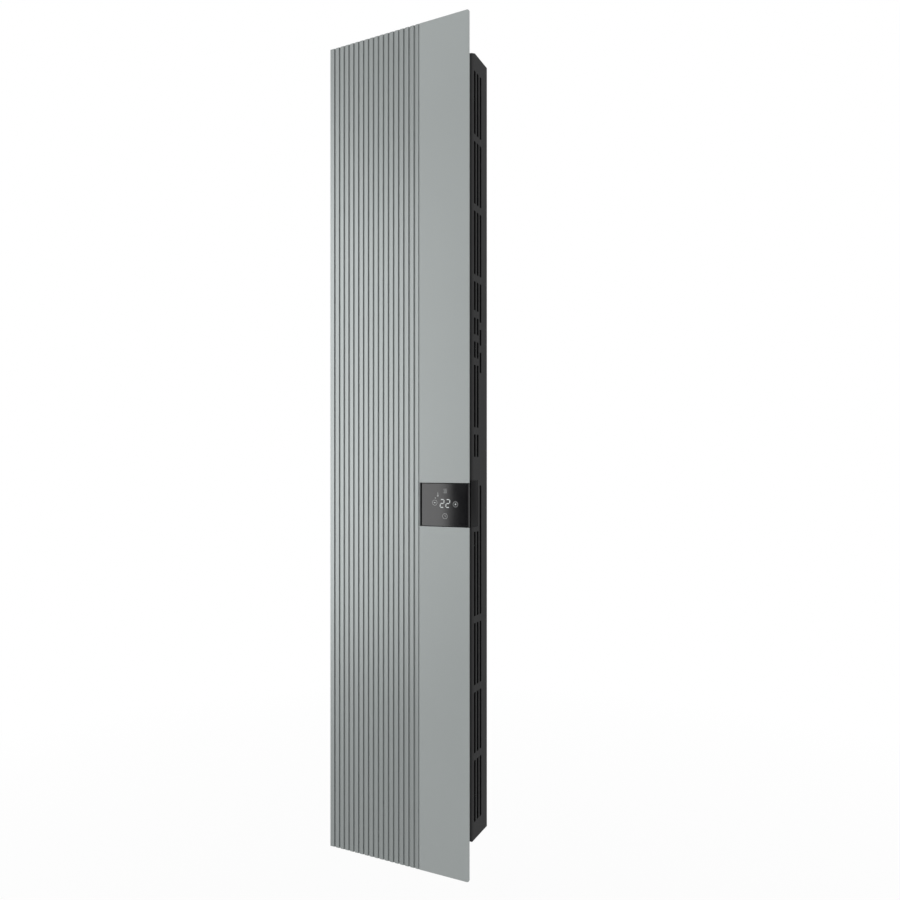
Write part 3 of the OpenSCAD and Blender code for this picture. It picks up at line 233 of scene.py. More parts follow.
def satinPanelPaint():
    # satin metallic coat: wide clouds, fine flakes, a very shallow orange peel and painted shade on the
    # ribs
    look = panelPaint
    rgb, play = look["rgb"], look["cloud"]
    material, tree, shader = makeTree("satinPanelPaint")
    cloud = spread(tree, noise(tree, look["cloudScale"], detail=2.0), 0.0, 1.0)
    base = blendColour(tree, cloud, colour(rgb, 1 - play), colour(rgb, 1 + play))
    flake = noise(tree, look["flakeScale"], detail=1.0)
    share = spread(tree, flake, 0.0, look["flakeShade"], *look["flakeBand"])
    base = blendColour(tree, share, base, colour(rgb, look["flakeGain"]))

    # 1 on the ribbed part of the front skin, 0 elsewhere
    axes = addNode(tree, "SeparateXYZ", {"Vector": objectPoint(tree)}).outputs
    beside = spread(tree, axes["X"], 1.0, 0.0, look["ribEdge"] - look["ribBlend"], look["ribEdge"])
    onSkin = spread(tree, axes["Y"], 1.0, 0.0, look["skinBack"] - look["skinBlend"], look["skinBack"])
    ribbed = addNode(tree, "Math", {0: beside, 1: onSkin}, operation="MULTIPLY").outputs[0]
    # on the ribs the lower gain darkens the base colour, which is painted shade; the same mask sets their
    # metallic and roughness
    gain, metallic, rough = (spread(tree, ribbed, *look[key], 0.0, 1.0)
                             for key in ("gain", "metallic", "roughness"))

    peel = noise(tree, look["peelScale"], detail=2.0)
    roughPlay = spread(tree, peel, -look["roughPlay"], look["roughPlay"])
    setInputs(tree, shader, {
        "Base Color": addNode(tree, "VectorMath", {0: base, 3: gain}, operation="SCALE").outputs[0],
        "Metallic": metallic,
        "Roughness": addNode(tree, "Math", {0: rough, 1: roughPlay}).outputs[0],
    })
    addBump(tree, shader, peel, look["peelDepth"])
    return material


glassLook = {
    "deep": (0.004, 0.004, 0.005), "smeared": (0.009, 0.009, 0.01),
    "smearScale": 30, "smearStretch": (1, 1, 0.4),
    "roughness": (0.105, 0.15), "ior": 1.52, "specular": 0.42,
}


def darkGlass():
    # black print behind finely etched glass: near-black base, soft gloss, smears in the roughness
    look = glassLook
    material, tree, shader = makeTree("darkGlass")
    smear = noise(tree, look["smearScale"], look["smearStretch"], detail=5.0)
    setInputs(tree, shader, {
        "Base Color": blendColour(tree, smear, colour(look["deep"]), colour(look["smeared"])),
        "Roughness": spread(tree, smear, *look["roughness"]),
        "IOR": look["ior"],
        "Specular IOR Level": look["specular"],
    })
    return material


zincLook = {
    "darkCell": (0.44, 0.455, 0.475), "lightCell": (0.6, 0.62, 0.64), "grainTone": (0.36, 0.37, 0.39),
    "cellScale": 120.0, "grainScale": 900, "grainShade": 0.25,
    "roughness": (0.3, 0.46), "relief": 0.00001,
}


def galvanisedSheet():
    # zinc crystals: each cell has its own shade and gloss, under a fine grain
    look = zincLook
    material, tree, shader = makeTree("zincSteel")
    cells = addNode(tree, "TexVoronoi", {"Vector": objectPoint(tree), "Scale": look["cellScale"]})
    shade = addNode(tree, "SeparateColor", {"Color": cells.outputs["Color"]}).outputs[0]
    grain = noise(tree, look["grainScale"], detail=4.0)
    tone = blendColour(tree, shade, colour(look["darkCell"]), colour(look["lightCell"]))
    dark = spread(tree, grain, 0.0, look["grainShade"])
    setInputs(tree, shader, {
        "Base Color": blendColour(tree, dark, tone, colour(look["grainTone"])),
        "Roughness": spread(tree, shade, *look["roughness"], 0.0, 1.0),
        "Metallic": 1.0,
    })
    addBump(tree, shader, grain, look["relief"])
    return material


boardLook = {
    "masks": ((0.02, 0.16, 0.07), (0.03, 0.2, 0.09)), "copperRun": (0.1, 0.3, 0.12),
    "runScale": 90.0, "runWidth": 0.03, "relief": 0.00004,
    "grainScale": 900, "roughness": (0.25, 0.4),
}


def circuitBoard():
    # a brick pattern laid on the board's face: its joints are the copper runs under the green mask
    look = boardLook
    material, tree, shader = makeTree("circuitBoard")
    onFace = {"Vector": objectPoint(tree), "Rotation": (math.radians(90), 0, 0)}
    runs = addNode(tree, "TexBrick", {
        "Vector": addNode(tree, "Mapping", onFace).outputs["Vector"],
        "Scale": look["runScale"], "Mortar Size": look["runWidth"], "Mortar": colour(look["copperRun"]),
        "Color1": colour(look["masks"][0]), "Color2": colour(look["masks"][1]),
    })
    setInputs(tree, shader, {
        "Base Color": runs.outputs["Color"],
        "Roughness": spread(tree, noise(tree, look["grainScale"]), *look["roughness"]),
    })
    addBump(tree, shader, runs.outputs["Fac"], look["relief"])
    return material


filmLook = {
    "carbon": (0.02, 0.02, 0.022), "clear": (0.3, 0.2, 0.1),
    "bandScale": 40.0, "bandEdge": (0.4, 0.5),
    "grainScale": 300, "roughness": (0.25, 0.4),
}


def heatingFilm():
    # laminated film: printed carbon bands between clear margins, along the height
    look = filmLook
    material, tree, shader = makeTree("heatingFilm")
    waves = {"Vector": objectPoint(tree), "Scale": look["bandScale"], "Distortion": 0.0}
    bands = addNode(tree, "TexWave", waves, bands_direction="X").outputs["Fac"]
    share = spread(tree, bands, 0.0, 1.0, *look["bandEdge"])
    setInputs(tree, shader, {
        "Base Color": blendColour(tree, share, colour(look["carbon"]), colour(look["clear"])),
        "Roughness": spread(tree, noise(tree, look["grainScale"]), *look["roughness"]),
    })
    return material


rodLook = {
    "straw": (0.42, 0.36, 0.3), "blue": (0.3, 0.3, 0.34), "tintScale": 14,
    "lineScale": 1600, "lineStretch": (1, 1, 0.02), "roughness": (0.3, 0.45), "relief": 0.00001,
}


def heatTintedRod():
    # stainless sheath: straw and blue heat tints in slow clouds, with fine draw lines along the rod
    look = rodLook
    material, tree, shader = makeTree("heatTintedRod")
    tint = spread(tree, noise(tree, look["tintScale"], detail=2.0), 0.0, 1.0)
    lines = noise(tree, look["lineScale"], look["lineStretch"])
    setInputs(tree, shader, {
        "Base Color": blendColour(tree, tint, colour(look["straw"]), colour(look["blue"])),
        "Roughness": spread(tree, lines, *look["roughness"]),
        "Metallic": 1.0,
    })
    addBump(tree, shader, lines, look["relief"])
    return material


litLook = {
    "lights": {       # colour and strength of the light
        "litDigits": ((0.86, 0.9, 0.9), 0.56),
        "litKeys": ((0.86, 0.88, 0.88), 0.34),
        "litIcons": ((0.82, 0.85, 0.85), 0.22),
    },
    "cloudScale": 400, "dimGain": 0.85, "unlitGain": 0.15,
    "grainScale": 900, "roughness": (0.2, 0.35),
}


def litPrint(name):
    # light that comes through a printed mark, a little uneven as behind a diffuser
    look = litLook
    rgb, strength = look["lights"][name]
    material, tree, shader = makeTree(name)
    cloud = noise(tree, look["cloudScale"], detail=2.0)
    setInputs(tree, shader, {
        "Emission Color": blendColour(tree, cloud, colour(rgb, look["dimGain"]), colour(rgb)),
        "Emission Strength": strength,
        "Base Color": colour(rgb, look["unlitGain"]),
        "Roughness": spread(tree, noise(tree, look["grainScale"]), *look["roughness"]),
    })
    return material


finishes = {name: grainedFinish(name, look) for name, look in looks.items()}
finishes.update({name: litPrint(name) for name in litLook["lights"]})
finishes.update({
    "panelPaint": satinPanelPaint(), "darkGlass": darkGlass(), "zincSteel": galvanisedSheet(),
    "circuitBoard": circuitBoard(), "heatingFilm": heatingFilm(), "heatTintedRod": heatTintedRod(),
})

slotFinish = {
    "panel_aluminium": "panelPaint", "black_sheet": "blackSheet", "black_plastic": "blackPlastic",
    "dark_glass": "darkGlass", "heating_film": "heatingFilm", "insulation": "rockWool",
    "zinc_steel": "zincSteel", "bright_aluminium": "brightAluminium", "rod_steel": "heatTintedRod",
    "black_aluminium": "blackAluminium", "ceramic": "ceramic", "silicone_red": "siliconeRed",
    "rubber_black": "rubberBlack", "black_screw": "blackScrew", "circuit_green": "circuitBoard",
    "component_plastic": "componentPlastic", "ivory_plastic": "ivoryPlastic", "wire": "wireSleeve",
    "ribbon_grey": "ribbonGrey", "signal_red": "signalRed", "brass": "brass",
}
nodeSlot = {entry["node"]: entry["material_slot"] for entry in frame["record"]["subparts"]}
nodeBody = {name: body for body, names in frame["record"]["behaviour"]["bodies"].items() for name in names}

for name, node in nodes.items():
    node.data.materials.clear()
    node.data.materials.append(finishes[slotFinish[nodeSlot[name]]])
print("materials made:", len(finishes))


# meshes

shading = {
    "sharpAngle": 38,      # degrees between two faces past which their edge stays sharp
    "flatWeight": 100,     # wide faces decide the shading at their rims
}


def closedMesh(name, points, faces):
    # mesh of a closed shape, its faces turned outwards
    mesh = bpy.data.meshes.new(name)
    mesh.from_pydata(points.tolist(), [], faces)
    work = bmesh.new()
    work.from_mesh(mesh)
    bmesh.ops.recalc_face_normals(work, faces=work.faces)
    work.to_mesh(mesh)
    work.free()
    return mesh


def showPiece(name, mesh, finish, body, replaced=()):
    # links a finished mesh, shades it smooth up to the sharp angle and hangs it on its body
    mesh.validate()
    mesh.polygons.foreach_set("use_smooth", np.ones(len(mesh.polygons), bool))
    mesh.set_sharp_from_angle(angle=math.radians(shading["sharpAngle"]))
    mesh.materials.clear()
    mesh.materials.append(finishes[finish])
    piece = bpy.data.objects.new(name, mesh)
    scene.collection.objects.link(piece)
    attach(piece, body)
    if replaced:
        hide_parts(*replaced)
    return piece


def roundEdges(piece, width, segments, angle):
    # narrow rounding on every edge sharper than the angle in degrees
    bevel = piece.modifiers.new("edgeRound", "BEVEL")
    bevel.width = width
    bevel.segments = segments
    bevel.limit_method = "ANGLE"
    bevel.angle_limit = math.radians(angle)
    bevel.use_clamp_overlap = False
    bevel.harden_normals = True


def flattenNormals(piece):
    # keeps the shading of wide flat faces flat beside their narrow roundings
    modifier = piece.modifiers.new("flatFaces", "WEIGHTED_NORMAL")
    modifier.keep_sharp = True
    modifier.weight = shading["flatWeight"]


softening = {
    "mergeReach": 2e-6, "flatAngle": 0.4, "segments": 2, "hardAngle": 40,     # metres, degrees
    # radius in mm of the rounding on each node that keeps its solid's shape
    "radii": {
        "front_tray": 0.3, "side_grille_right": 0.35, "side_grille_left": 0.35, "top_cap": 0.35,
        "bottom_cap": 0.35, "chassis_back": 0.25, "control_housing": 0.5, "switch_housing": 0.4,
        "switch_rocker": 0.35, "upper_wall_bracket": 0.4, "lower_wall_bracket": 0.4, "lock_lever": 0.35,
        "lever_grip": 0.6, "lock_pivot": 0.4, "lock_keeper": 0.25, "hook_reinforcers": 0.3,
        "wall_buffers": 0.8, "gland_nut": 0.4, "terminal_block": 0.5, "panel_rails": 0.2,
        "element_shelves": 0.2, "electronics_box": 0.5, "electronics_lid": 0.4, "relays": 0.6,
        "transformer": 0.6, "board_connector": 0.4, "insulation_boards": 0.8, "capacitors": 0.8,
        "rod_insulators": 0.4, "thermal_cutouts": 0.2, "earth_stud": 0.2,
    },
}


def softenNode(name, roundMm):
    # copy of a node's mesh, merged and freed of flat triangle edges, with every hard edge rounded
    mesh = nodes[name].data.copy()
    work = bmesh.new()
    work.from_mesh(mesh)
    bmesh.ops.remove_doubles(work, verts=work.verts, dist=softening["mergeReach"])
    bmesh.ops.dissolve_limit(work, angle_limit=math.radians(softening["flatAngle"]), verts=work.verts,
                             edges=work.edges, use_dissolve_boundaries=False)
    bmesh.ops.recalc_face_normals(work, faces=work.faces)
    work.to_mesh(mesh)
    work.free()
    words = name.split("_")
    pieceName = words[0] + "".join(word.capitalize() for word in words[1:])
    slot = nodeSlot[name]
    piece = showPiece(pieceName, mesh, slotFinish[slot], nodeBody[name], [name])
    roundEdges(piece, roundMm / 1000, softening["segments"], softening["hardAngle"])


for name, roundMm in softening["radii"].items():
    softenNode(name, roundMm)
print("edges rounded on", len(softening["radii"]), "pieces")


screw = {
    "across": 0.16,           # x of both rows
    "reach": 0.827, "reachShares": (-0.96, -0.6, -0.2, 0.2, 0.6, 0.96),     # z of the screws in a row
    "plate": -0.012,          # y of the plate under the heads
    "shank": 0.002, "length": 0.007, "tipShare": 0.4, "threadShare": 0.76,
    "head": 0.0038, "height": 0.0022, "rim": 0.0021,
    "domeShares": ((1, 0), (1, 0.3), (0.93, 0.66), (0.77, 0.9)),     # of the head's radius and height
    "armLength": 0.0017, "armWidth": 0.0008, "recess": 0.0011, "floorShare": 0.75,
    "around": 24,
}


def screwShape():
    # turned profile (radius, y): x = radius cos(turn), z = radius sin(turn); the flat top keeps
    # a cross-shaped recess with tapered walls
    shank, length, height = screw["shank"], screw["length"], screw["height"]
    profile = [(screw["tipShare"] * shank, -length), (shank, -screw["threadShare"] * length), (shank, 0)]
    profile += [(a * screw["head"], b * height) for a, b in screw["domeShares"]] + [(screw["rim"], height)]
    around = screw["around"]
    turn = np.linspace(0, 2 * math.pi, around, endpoint=False)
    rings = [np.column_stack([r * np.cos(turn), np.full(around, y), r * np.sin(turn)]) for r, y in profile]
    a, w = screw["armLength"], screw["armWidth"] / 2
    arm = np.array([(a, -w), (a, w), (w, w)])
    quarters = ((1, 0), (0, 1), (-1, 0), (0, -1))
    cross = np.vstack([arm @ np.array([(c, t), (-t, c)]) for c, t in quarters])
    corners = len(cross)
    rings += [np.column_stack([cross[:, 0] * share, np.full(corners, y), cross[:, 1] * share])
              for share, y in ((1, height), (screw["floorShare"], height - screw["recess"]))]

    k, j = np.arange(around), np.arange(corners) + around * len(profile)
    faces = [k[::-1].tolist()]
    for ring in range(len(profile) - 1):
        low, high = ring * around, (ring + 1) * around
        nextK = (k + 1) % around
        faces += np.column_stack([k + low, nextK + low, nextK + high, k + high]).tolist()
    nextJ = np.roll(j, -1)
    faces += np.column_stack([j, nextJ, nextJ + corners, j + corners]).tolist() + [(j + corners).tolist()]
    mesh = bpy.data.meshes.new("screwShape")
    mesh.from_pydata(np.vstack(rings).tolist(), [], faces)
    work = bmesh.new()
    work.from_mesh(mesh)
    bmesh.ops.triangle_fill(work, use_beauty=True, edges=[edge for edge in work.edges if edge.is_boundary])
    bmesh.ops.recalc_face_normals(work, faces=work.faces)
    work.to_mesh(mesh)
    work.free()
    return mesh


def buildScrews():
    # the one screw at all its places round the back plate: point + place
    shape = screwShape()
    points = np.empty(len(shape.vertices) * 3)
    shape.vertices.foreach_get("co", points)
    points = points.reshape(-1, 3)
    places = np.array([(x, screw["plate"], share * screw["reach"])
                       for x in (-screw["across"], screw["across"]) for share in screw["reachShares"]])
    every = (points[None] + places[:, None]).reshape(-1, 3)
    faces = [list(face.vertices) for face in shape.polygons]
    copies = [[v + i * len(points) for v in face] for i in range(len(places)) for face in faces]
    mesh = bpy.data.meshes.new("backScrews")
    mesh.from_pydata(every.tolist(), [], copies)
    bpy.data.meshes.remove(shape)
    showPiece("backScrews", mesh, "blackScrew", "heater", ["back_screws"])


buildScrews()


gland = {
    "place": (0.06, -0.785),
    # turned section (radius, y, share of the flutes): bore, thread, grip, rounded end, seal
    "section": [(0.004, -0.027, 0), (0.0074, -0.027, 0), (0.008, -0.0264, 0), (0.008, -0.012, 0),
                (0.0104, -0.012, 0), (0.011, -0.0116, 1), (0.011, -0.0086, 1), (0.0107, -0.0078, 0.8),
                (0.0099, -0.0072, 0.4), (0.0088, -0.007, 0), (0.0064, -0.007, 0), (0.006, -0.0074, 0),
                (0.0058, -0.0078, 0), (0.004, -0.0078, 0)],
    "flutes": 20, "fluteDepth": 0.0006, "around": 120,
}


def buildGland():
    # radius = section radius - flute depth * share * (1 + cos(flutes * turn)) / 2; both directions close
    section = np.array(gland["section"])
    turn = np.linspace(0, 2 * math.pi, gland["around"], endpoint=False)
    flute = gland["fluteDepth"] * (1 + np.cos(gland["flutes"] * turn)) / 2
    radius = section[:, 0][:, None] - section[:, 2][:, None] * flute[None]
    x = gland["place"][0] + radius * np.cos(turn)
    z = gland["place"][1] + radius * np.sin(turn)
    y = np.repeat(section[:, 1][:, None], len(turn), axis=1)
    rows, columns = radius.shape
    i, j = np.meshgrid(np.arange(rows), np.arange(columns), indexing="ij")
    here, after, nextJ = i * columns, (i + 1) % rows * columns, (j + 1) % columns
    quads = np.stack([here + j, here + nextJ, after + nextJ, after + j], axis=2).reshape(-1, 4)
    mesh = closedMesh("cableGland", np.stack([x, y, z], axis=2).reshape(-1, 3), quads.tolist())
    showPiece("cableGland", mesh, "blackPlastic", "heater", ["cable_gland"])


buildGland()
print("screws and gland turned")


panel = {
    "ribs": 18,
    "pitch": 0.01275,
    "grooveWidth": 0.0042,
    "grooveDepth": 0.0028,
    "shoulder": 0.0005,      # radius of a rib's shoulder
    "valley": 0.0005,        # radius at the bottom of a groove
    "fineLead": 0.0032,      # the fine line starts this far before the next rib's place
    "fineWidth": 0.0022,
    "fineDepth": 0.0018,
    "fineShoulder": 0.0003,  # also at its bottom
    "arcSteps": 6,
    "cornerRadius": 0.006,   # right-hand corners
    "cornerSteps": 9,
    "edgeRound": 0.0006,     # rounding round the front outline
    "edgeSteps": 5, "edgeReachShare": 1.02,
    "plainShares": (0.25, 0.6, 0.9),     # columns of the plain strip, from the notch to the right edge
    "backBevel": 0.003,
    "notchSide": 0.0048,     # gaps between the glass and the notch
    "notchRim": 0.0013,
    "cutPlay": 1e-6, "mergeReach": 1e-7,
}


def grooveSection(left, width, depth, shoulder, valley):
    # half of a groove: x = left - s + s sin(a), d = s - s cos(a), then the valley's quarter;
    # the other half is mirrored
    turn = np.linspace(0, math.pi / 2, panel["arcSteps"])
    top = np.column_stack([left - shoulder + shoulder * np.sin(turn), shoulder - shoulder * np.cos(turn)])
    low = np.column_stack([left + valley - valley * np.cos(turn), depth - valley + valley * np.sin(turn)])
    half = np.vstack([top, low])
    other = half[::-1] * (-1, 1) + (2 * left + width, 0)
    return np.vstack([half, other])


def edgeOffsets():
    # steps inwards from the outline: rounding * (1 - cos(turn)), dense where the rounding is steep
    turn = np.linspace(0, math.pi / 2, panel["edgeSteps"])
    return panel["edgeRound"] * panel["edgeReachShare"] * (1 - np.cos(turn))


def ribSection(low, notch):
    # profile (x, depth) from the left edge to the notch: a groove between each two ribs, then the fine line
    inward = edgeOffsets()
    groove = [panel[key] for key in ("grooveWidth", "grooveDepth", "shoulder", "valley")]
    fine = [panel[key] for key in ("fineWidth", "fineDepth", "fineShoulder", "fineShoulder")]
    section = [np.column_stack([low.x + inward, np.zeros(len(inward))])]
    for i in range(1, panel["ribs"]):
        left = low.x + i * panel["pitch"] - panel["grooveWidth"] / 2
        section.append(grooveSection(left, *groove))
    left = low.x + panel["ribs"] * panel["pitch"] - panel["fineLead"]
    section.append(grooveSection(left, *fine))
    section.append(np.column_stack([notch["x"] - inward[::-1], np.zeros(len(inward))]))
    return np.vstack(section)


def rimRounding(x, z, low, high, notch):
    # depth = e - sqrt(e^2 - (e - reach)^2), where reach is the distance to the outline, which has round
    # corners on the right, or to the notch, and at most e
    r, e = panel["cornerRadius"], panel["edgeRound"]
    flat = np.minimum(np.minimum(x - low.x, high.x - x), high.z - np.abs(z))
    overX, overZ = x - (high.x - r), np.abs(z) - (high.z - r)
    cornerReach = r - np.hypot(np.maximum(overX, 0), np.maximum(overZ, 0))
    reach = np.where((overX > 0) & (overZ > 0), np.minimum(cornerReach, x - low.x), flat)
    aside = np.maximum(notch["x"] - x, 0)
    apart = np.maximum(np.maximum(z - notch["top"], notch["bottom"] - z), 0)
    reach = np.clip(np.minimum(reach, np.hypot(aside, apart)), 0, e)
    return e - np.sqrt(np.maximum(e * e - (e - reach) ** 2, 0))


def panelSkin(low, high, notch):
    # grid of the front skin, its rows along z: depth = the larger of the rib profile and the rim's rounding
    inward, section = edgeOffsets(), ribSection(low, notch)
    r = panel["cornerRadius"]
    corner = np.linspace(0, math.pi / 2, panel["cornerSteps"])
    rise = np.concatenate([high.z - inward, high.z - r + r * np.sin(corner)])
    rows = np.concatenate([rise, -rise, notch["top"] + inward, notch["bottom"] - inward])
    rows = np.unique(np.round(rows, 7))      # to a ten-thousandth of a millimetre

    # the right edge follows the corners: x = centre + sqrt(r^2 - beyond^2)
    beyond = np.clip(np.abs(rows) - (high.z - r), 0, r)
    rightEdge = high.x - r + np.sqrt(np.maximum(r * r - beyond * beyond, 0))
    spans = rightEdge - notch["x"]
    plain = notch["x"] + spans[:, None] * np.array(panel["plainShares"])[None, :]
    rim = rightEdge[:, None] - inward[::-1][None, :]
    ribX, ribDepth = (np.repeat(section[None, :, column], len(rows), axis=0) for column in (0, 1))
    x = np.hstack([ribX, plain, rim])
    z = np.repeat(rows[:, None], x.shape[1], axis=1)
    depth = np.hstack([ribDepth, np.zeros_like(plain), np.zeros_like(rim)])
    depth = np.maximum(depth, rimRounding(x, z, low, high, notch))
    points = np.stack([x, low.y + depth, z], axis=2).reshape(-1, 3)

    # squares of the grid, less those in the notch
    rowCount, columnCount = x.shape
    i, j = np.meshgrid(np.arange(rowCount - 1), np.arange(columnCount - 1), indexing="ij")
    corners = i * columnCount + j
    quads = np.stack([corners, corners + 1, corners + columnCount + 1, corners + columnCount], axis=2)
    play = panel["cutPlay"]
    atHeight = (rows[i] > notch["bottom"] - play) & (rows[i + 1] < notch["top"] + play)
    quads = quads[~(atHeight & (j >= len(section) - 1))]
    used = np.unique(quads)
    return points[used], np.searchsorted(used, quads)


def rimEdges(quads, count):
    # sides of quads that no neighbour runs along the other way
    sides = np.concatenate([quads[:, [k, (k + 1) % 4]] for k in range(4)])
    forward, backward = sides @ (count, 1), sides @ (1, count)
    return sides[~np.isin(forward, backward)]


def insetRim(x, z, low, high, inset):
    # a round corner shrinks about its centre: centre + (point - centre) (r - inset) / r; the rest is
    # held within the panel's box less the inset
    r = panel["cornerRadius"]
    centreX, centreZ = high.x - r, np.copysign(high.z - r, z)
    share = (r - inset) / r
    atCorner = (x > centreX) & (np.abs(z) > high.z - r)
    return (np.where(atCorner, centreX + (x - centreX) * share, np.clip(x, low.x + inset, high.x - inset)),
            np.where(atCorner, centreZ + (z - centreZ) * share, np.clip(z, low.z + inset, high.z - inset)))


def buildPanel():
    # front skin, walls straight back to the bevel, the bevel itself and one flat back
    low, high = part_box("front_panel")
    glassLow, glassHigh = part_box("touch_glass")
    notch = {"x": glassLow.x - panel["notchSide"], "top": glassHigh.z + panel["notchRim"],
             "bottom": glassLow.z - panel["notchRim"]}
    points, quads = panelSkin(low, high, notch)
    near = rimEdges(quads, len(points))
    rim = np.unique(near)
    order = np.searchsorted(rim, near)
    bevel = panel["backBevel"]
    parts, faces, start = [points], [quads], len(points)
    for plane, inset in ((high.y - bevel, 0.0), (high.y, bevel)):
        x, z = insetRim(points[rim, 0], points[rim, 2], low, high, inset)
        parts.append(np.column_stack([x, np.full(len(rim), plane), z]))
        faces.append(np.column_stack([near[:, ::-1], order + start]))
        near = order + start
        start += len(rim)

    mesh = bpy.data.meshes.new("frontPanel")
    mesh.from_pydata(np.vstack(parts).tolist(), [], np.vstack(faces).tolist())
    work = bmesh.new()
    work.from_mesh(mesh)
    bmesh.ops.contextual_create(work, geom=[edge for edge in work.edges if edge.is_boundary])
    bmesh.ops.triangulate(work, faces=[f for f in work.faces if len(f.verts) > 4], ngon_method="EAR_CLIP")
    bmesh.ops.remove_doubles(work, verts=work.verts, dist=panel["mergeReach"])
    bmesh.ops.recalc_face_normals(work, faces=work.faces)
    work.to_mesh(mesh)
    work.free()
    piece = showPiece("ribbedPanel", mesh, "panelPaint", "heater", ["front_panel"])
    flattenNormals(piece)


buildPanel()
print("front panel built")


glass = {
    "edgeRadius": 0.00275, "leftRadius": 0.0004, "steps": 12,      # front radii of the section
    "edgeRound": 0.00035, "segments": 3, "hardAngle": 50,
}


def buildGlass():
    # section (x, y) with a large front radius on the right, a small one on the left, carried along z
    low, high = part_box("touch_glass")
    turn = np.linspace(0, math.pi / 2, glass["steps"])
    big, small = glass["edgeRadius"], glass["leftRadius"]
    section = np.vstack([
        [[high.x, high.y]],
        np.column_stack([high.x - big + big * np.cos(turn), low.y + big - big * np.sin(turn)]),
        np.column_stack([low.x + small - small * np.sin(turn), low.y + small - small * np.cos(turn)]),
        [[low.x, high.y]],
    ])
    count = len(section)
    points = np.vstack([np.column_stack([section, np.full(count, z)]) for z in (low.z, high.z)])
    k = np.arange(count)
    nextK = (k + 1) % count
    sides = np.column_stack([k, nextK, nextK + count, k + count]).tolist()
    mesh = closedMesh("touchGlass", points, sides + [k[::-1].tolist(), (k + count).tolist()])
    piece = showPiece("touchGlass", mesh, "darkGlass", "heater", ["touch_glass"])
    roundEdges(piece, glass["edgeRound"], glass["segments"], glass["hardAngle"])


buildGlass()


marks = {
    "proud": 0.00004,            # height of the print on the glass
    "digitHeight": 0.0183, "digitWidth": 0.0102, "stroke": 0.0018, "gap": 0.0009,
    "digitPlaces": (0.1098, 0.1232), "digitZ": -0.1200, "slant": 0.06,
    "segments": (0, 2, 3, 4, 6),     # that make the figure 2
    "ringRadius": 0.0055, "ringWidth": 0.0006,
    "minusPlace": (0.0925, -0.1188), "plusPlace": (0.1409, -0.1214), "clockPlace": (0.1165, -0.1466),
    "signLength": 0.0039, "signWidth": 0.0014,
    "handShares": ((0, 1.5), (1.2, -0.7)),     # tips of the clock's hands, in half lengths of a sign
    "dropPlace": (0.0939, -0.1089), "dropRadius": 0.0012,
    "stemPlace": (0.0998, -0.1014), "stemEnds": (-0.0012, 0.0048), "stemWidth": 0.0013,
    "bulbDrop": 0.0028, "bulbRadius": 0.0019,
    "wavePlace": (0.1171, -0.0932), "wavePitch": 0.0026, "waveRise": 0.0006, "waveHeight": 0.0074,
    "waveSwing": 0.0006, "waveWidth": 0.0008,
    "plateDrop": 0.0045, "plateHalf": 0.004, "plateWidth": 0.001,     # hot plate under the waves
    "steps": {"barEnd": 7, "ring": 40, "drop": 20, "bulb": 24, "wave": 13},
}


def prism(outline, front, back):
    # closed flat solid: an (x, z) outline between two y planes
    outline = np.asarray(outline, float)
    count = len(outline)
    face = np.column_stack([outline[:, 0], np.full(count, front), outline[:, 1]])
    rear = face.copy()
    rear[:, 1] = back
    k = np.arange(count)
    nextK = (k + 1) % count
    sides = np.column_stack([k, k + count, nextK + count, nextK]).tolist()
    return np.vstack([face, rear]), [k.tolist(), (k[::-1] + count).tolist()] + sides


def band(inner, outer, front, back):
    # closed ring solid: two loops of equal count, each at both y planes
    count = len(inner)
    loops = [np.column_stack([p[:, 0], np.full(count, y), p[:, 1]]) for p, y in
             ((outer, front), (inner, front), (inner, back), (outer, back))]
    k = np.arange(count)
    nextK = (k + 1) % count
    faces = []
    for ring in range(len(loops)):
        a, b = ring * count, (ring + 1) % len(loops) * count
        faces += np.column_stack([k + a, nextK + a, nextK + b, k + b]).tolist()
    return np.vstack(loops), faces


def barOutline(start, end, width):
    # bar with half-round ends: end - r along + r (sin(turn) along + cos(turn) side), and its opposite
    start, end = np.array(start, float), np.array(end, float)
    along = (end - start) / np.linalg.norm(end - start)
    side = np.array([-along[1], along[0]])
    turn = np.linspace(0, math.pi, marks["steps"]["barEnd"])[:, None]
    reach = width / 2 * (np.sin(turn) * along + np.cos(turn) * side)
    return np.vstack([end - along * width / 2 + reach, start + along * width / 2 - reach])


def boxOutline(left, right, low, high):
    # rectangle by its sides
    return [(left, low), (right, low), (right, high), (left, high)]


def circle(place, radius, count):
    # place + radius (cos(turn), sin(turn))
    turn = np.linspace(0, 2 * math.pi, count, endpoint=False)
    return np.column_stack([place[0] + radius * np.cos(turn), place[1] + radius * np.sin(turn)])


def segmentDigit(place, segments):
    # seven segments: 0 top, 1 upper left, 2 upper right, 3 middle, 4 lower left, 5 lower right, 6 bottom
    h, w, s = marks["digitHeight"] / 2, marks["digitWidth"] / 2, marks["stroke"] / 2
    xs, zs, g = w - s, h - s, marks["gap"]
    ends = [((-xs + g, zs), (xs - g, zs)), ((-xs, zs - g), (-xs, g)), ((xs, zs - g), (xs, g)),
            ((-xs + g, 0), (xs - g, 0)), ((-xs, -g), (-xs, -zs + g)), ((xs, -g), (xs, -zs + g)),
            ((-xs + g, -zs), (xs - g, -zs))]
    shapes = []
    for k in segments:
        outline = np.array(barOutline(*ends[k], marks["stroke"]))
        outline[:, 0] += outline[:, 1] * marks["slant"]
        shapes.append(outline + place)
    return shapes


def ring(place, radius, width):
    # the two circles of a ring, half its width inside and outside the radius
    return tuple(circle(place, radius + side * width / 2, marks["steps"]["ring"]) for side in (-1, 1))


def waveStroke(place, height, swing, width):
    # upright stroke that swings once to each side: x = swing * sin(2 pi t)
    t = np.linspace(0, 1, marks["steps"]["wave"])
    centre = place[0] + swing * np.sin(2 * math.pi * t)
    z = place[1] + (t - 0.5) * height
    left, right = (np.column_stack([centre + side * width / 2, z]) for side in (-1, 1))
    return np.vstack([left, right[::-1]])


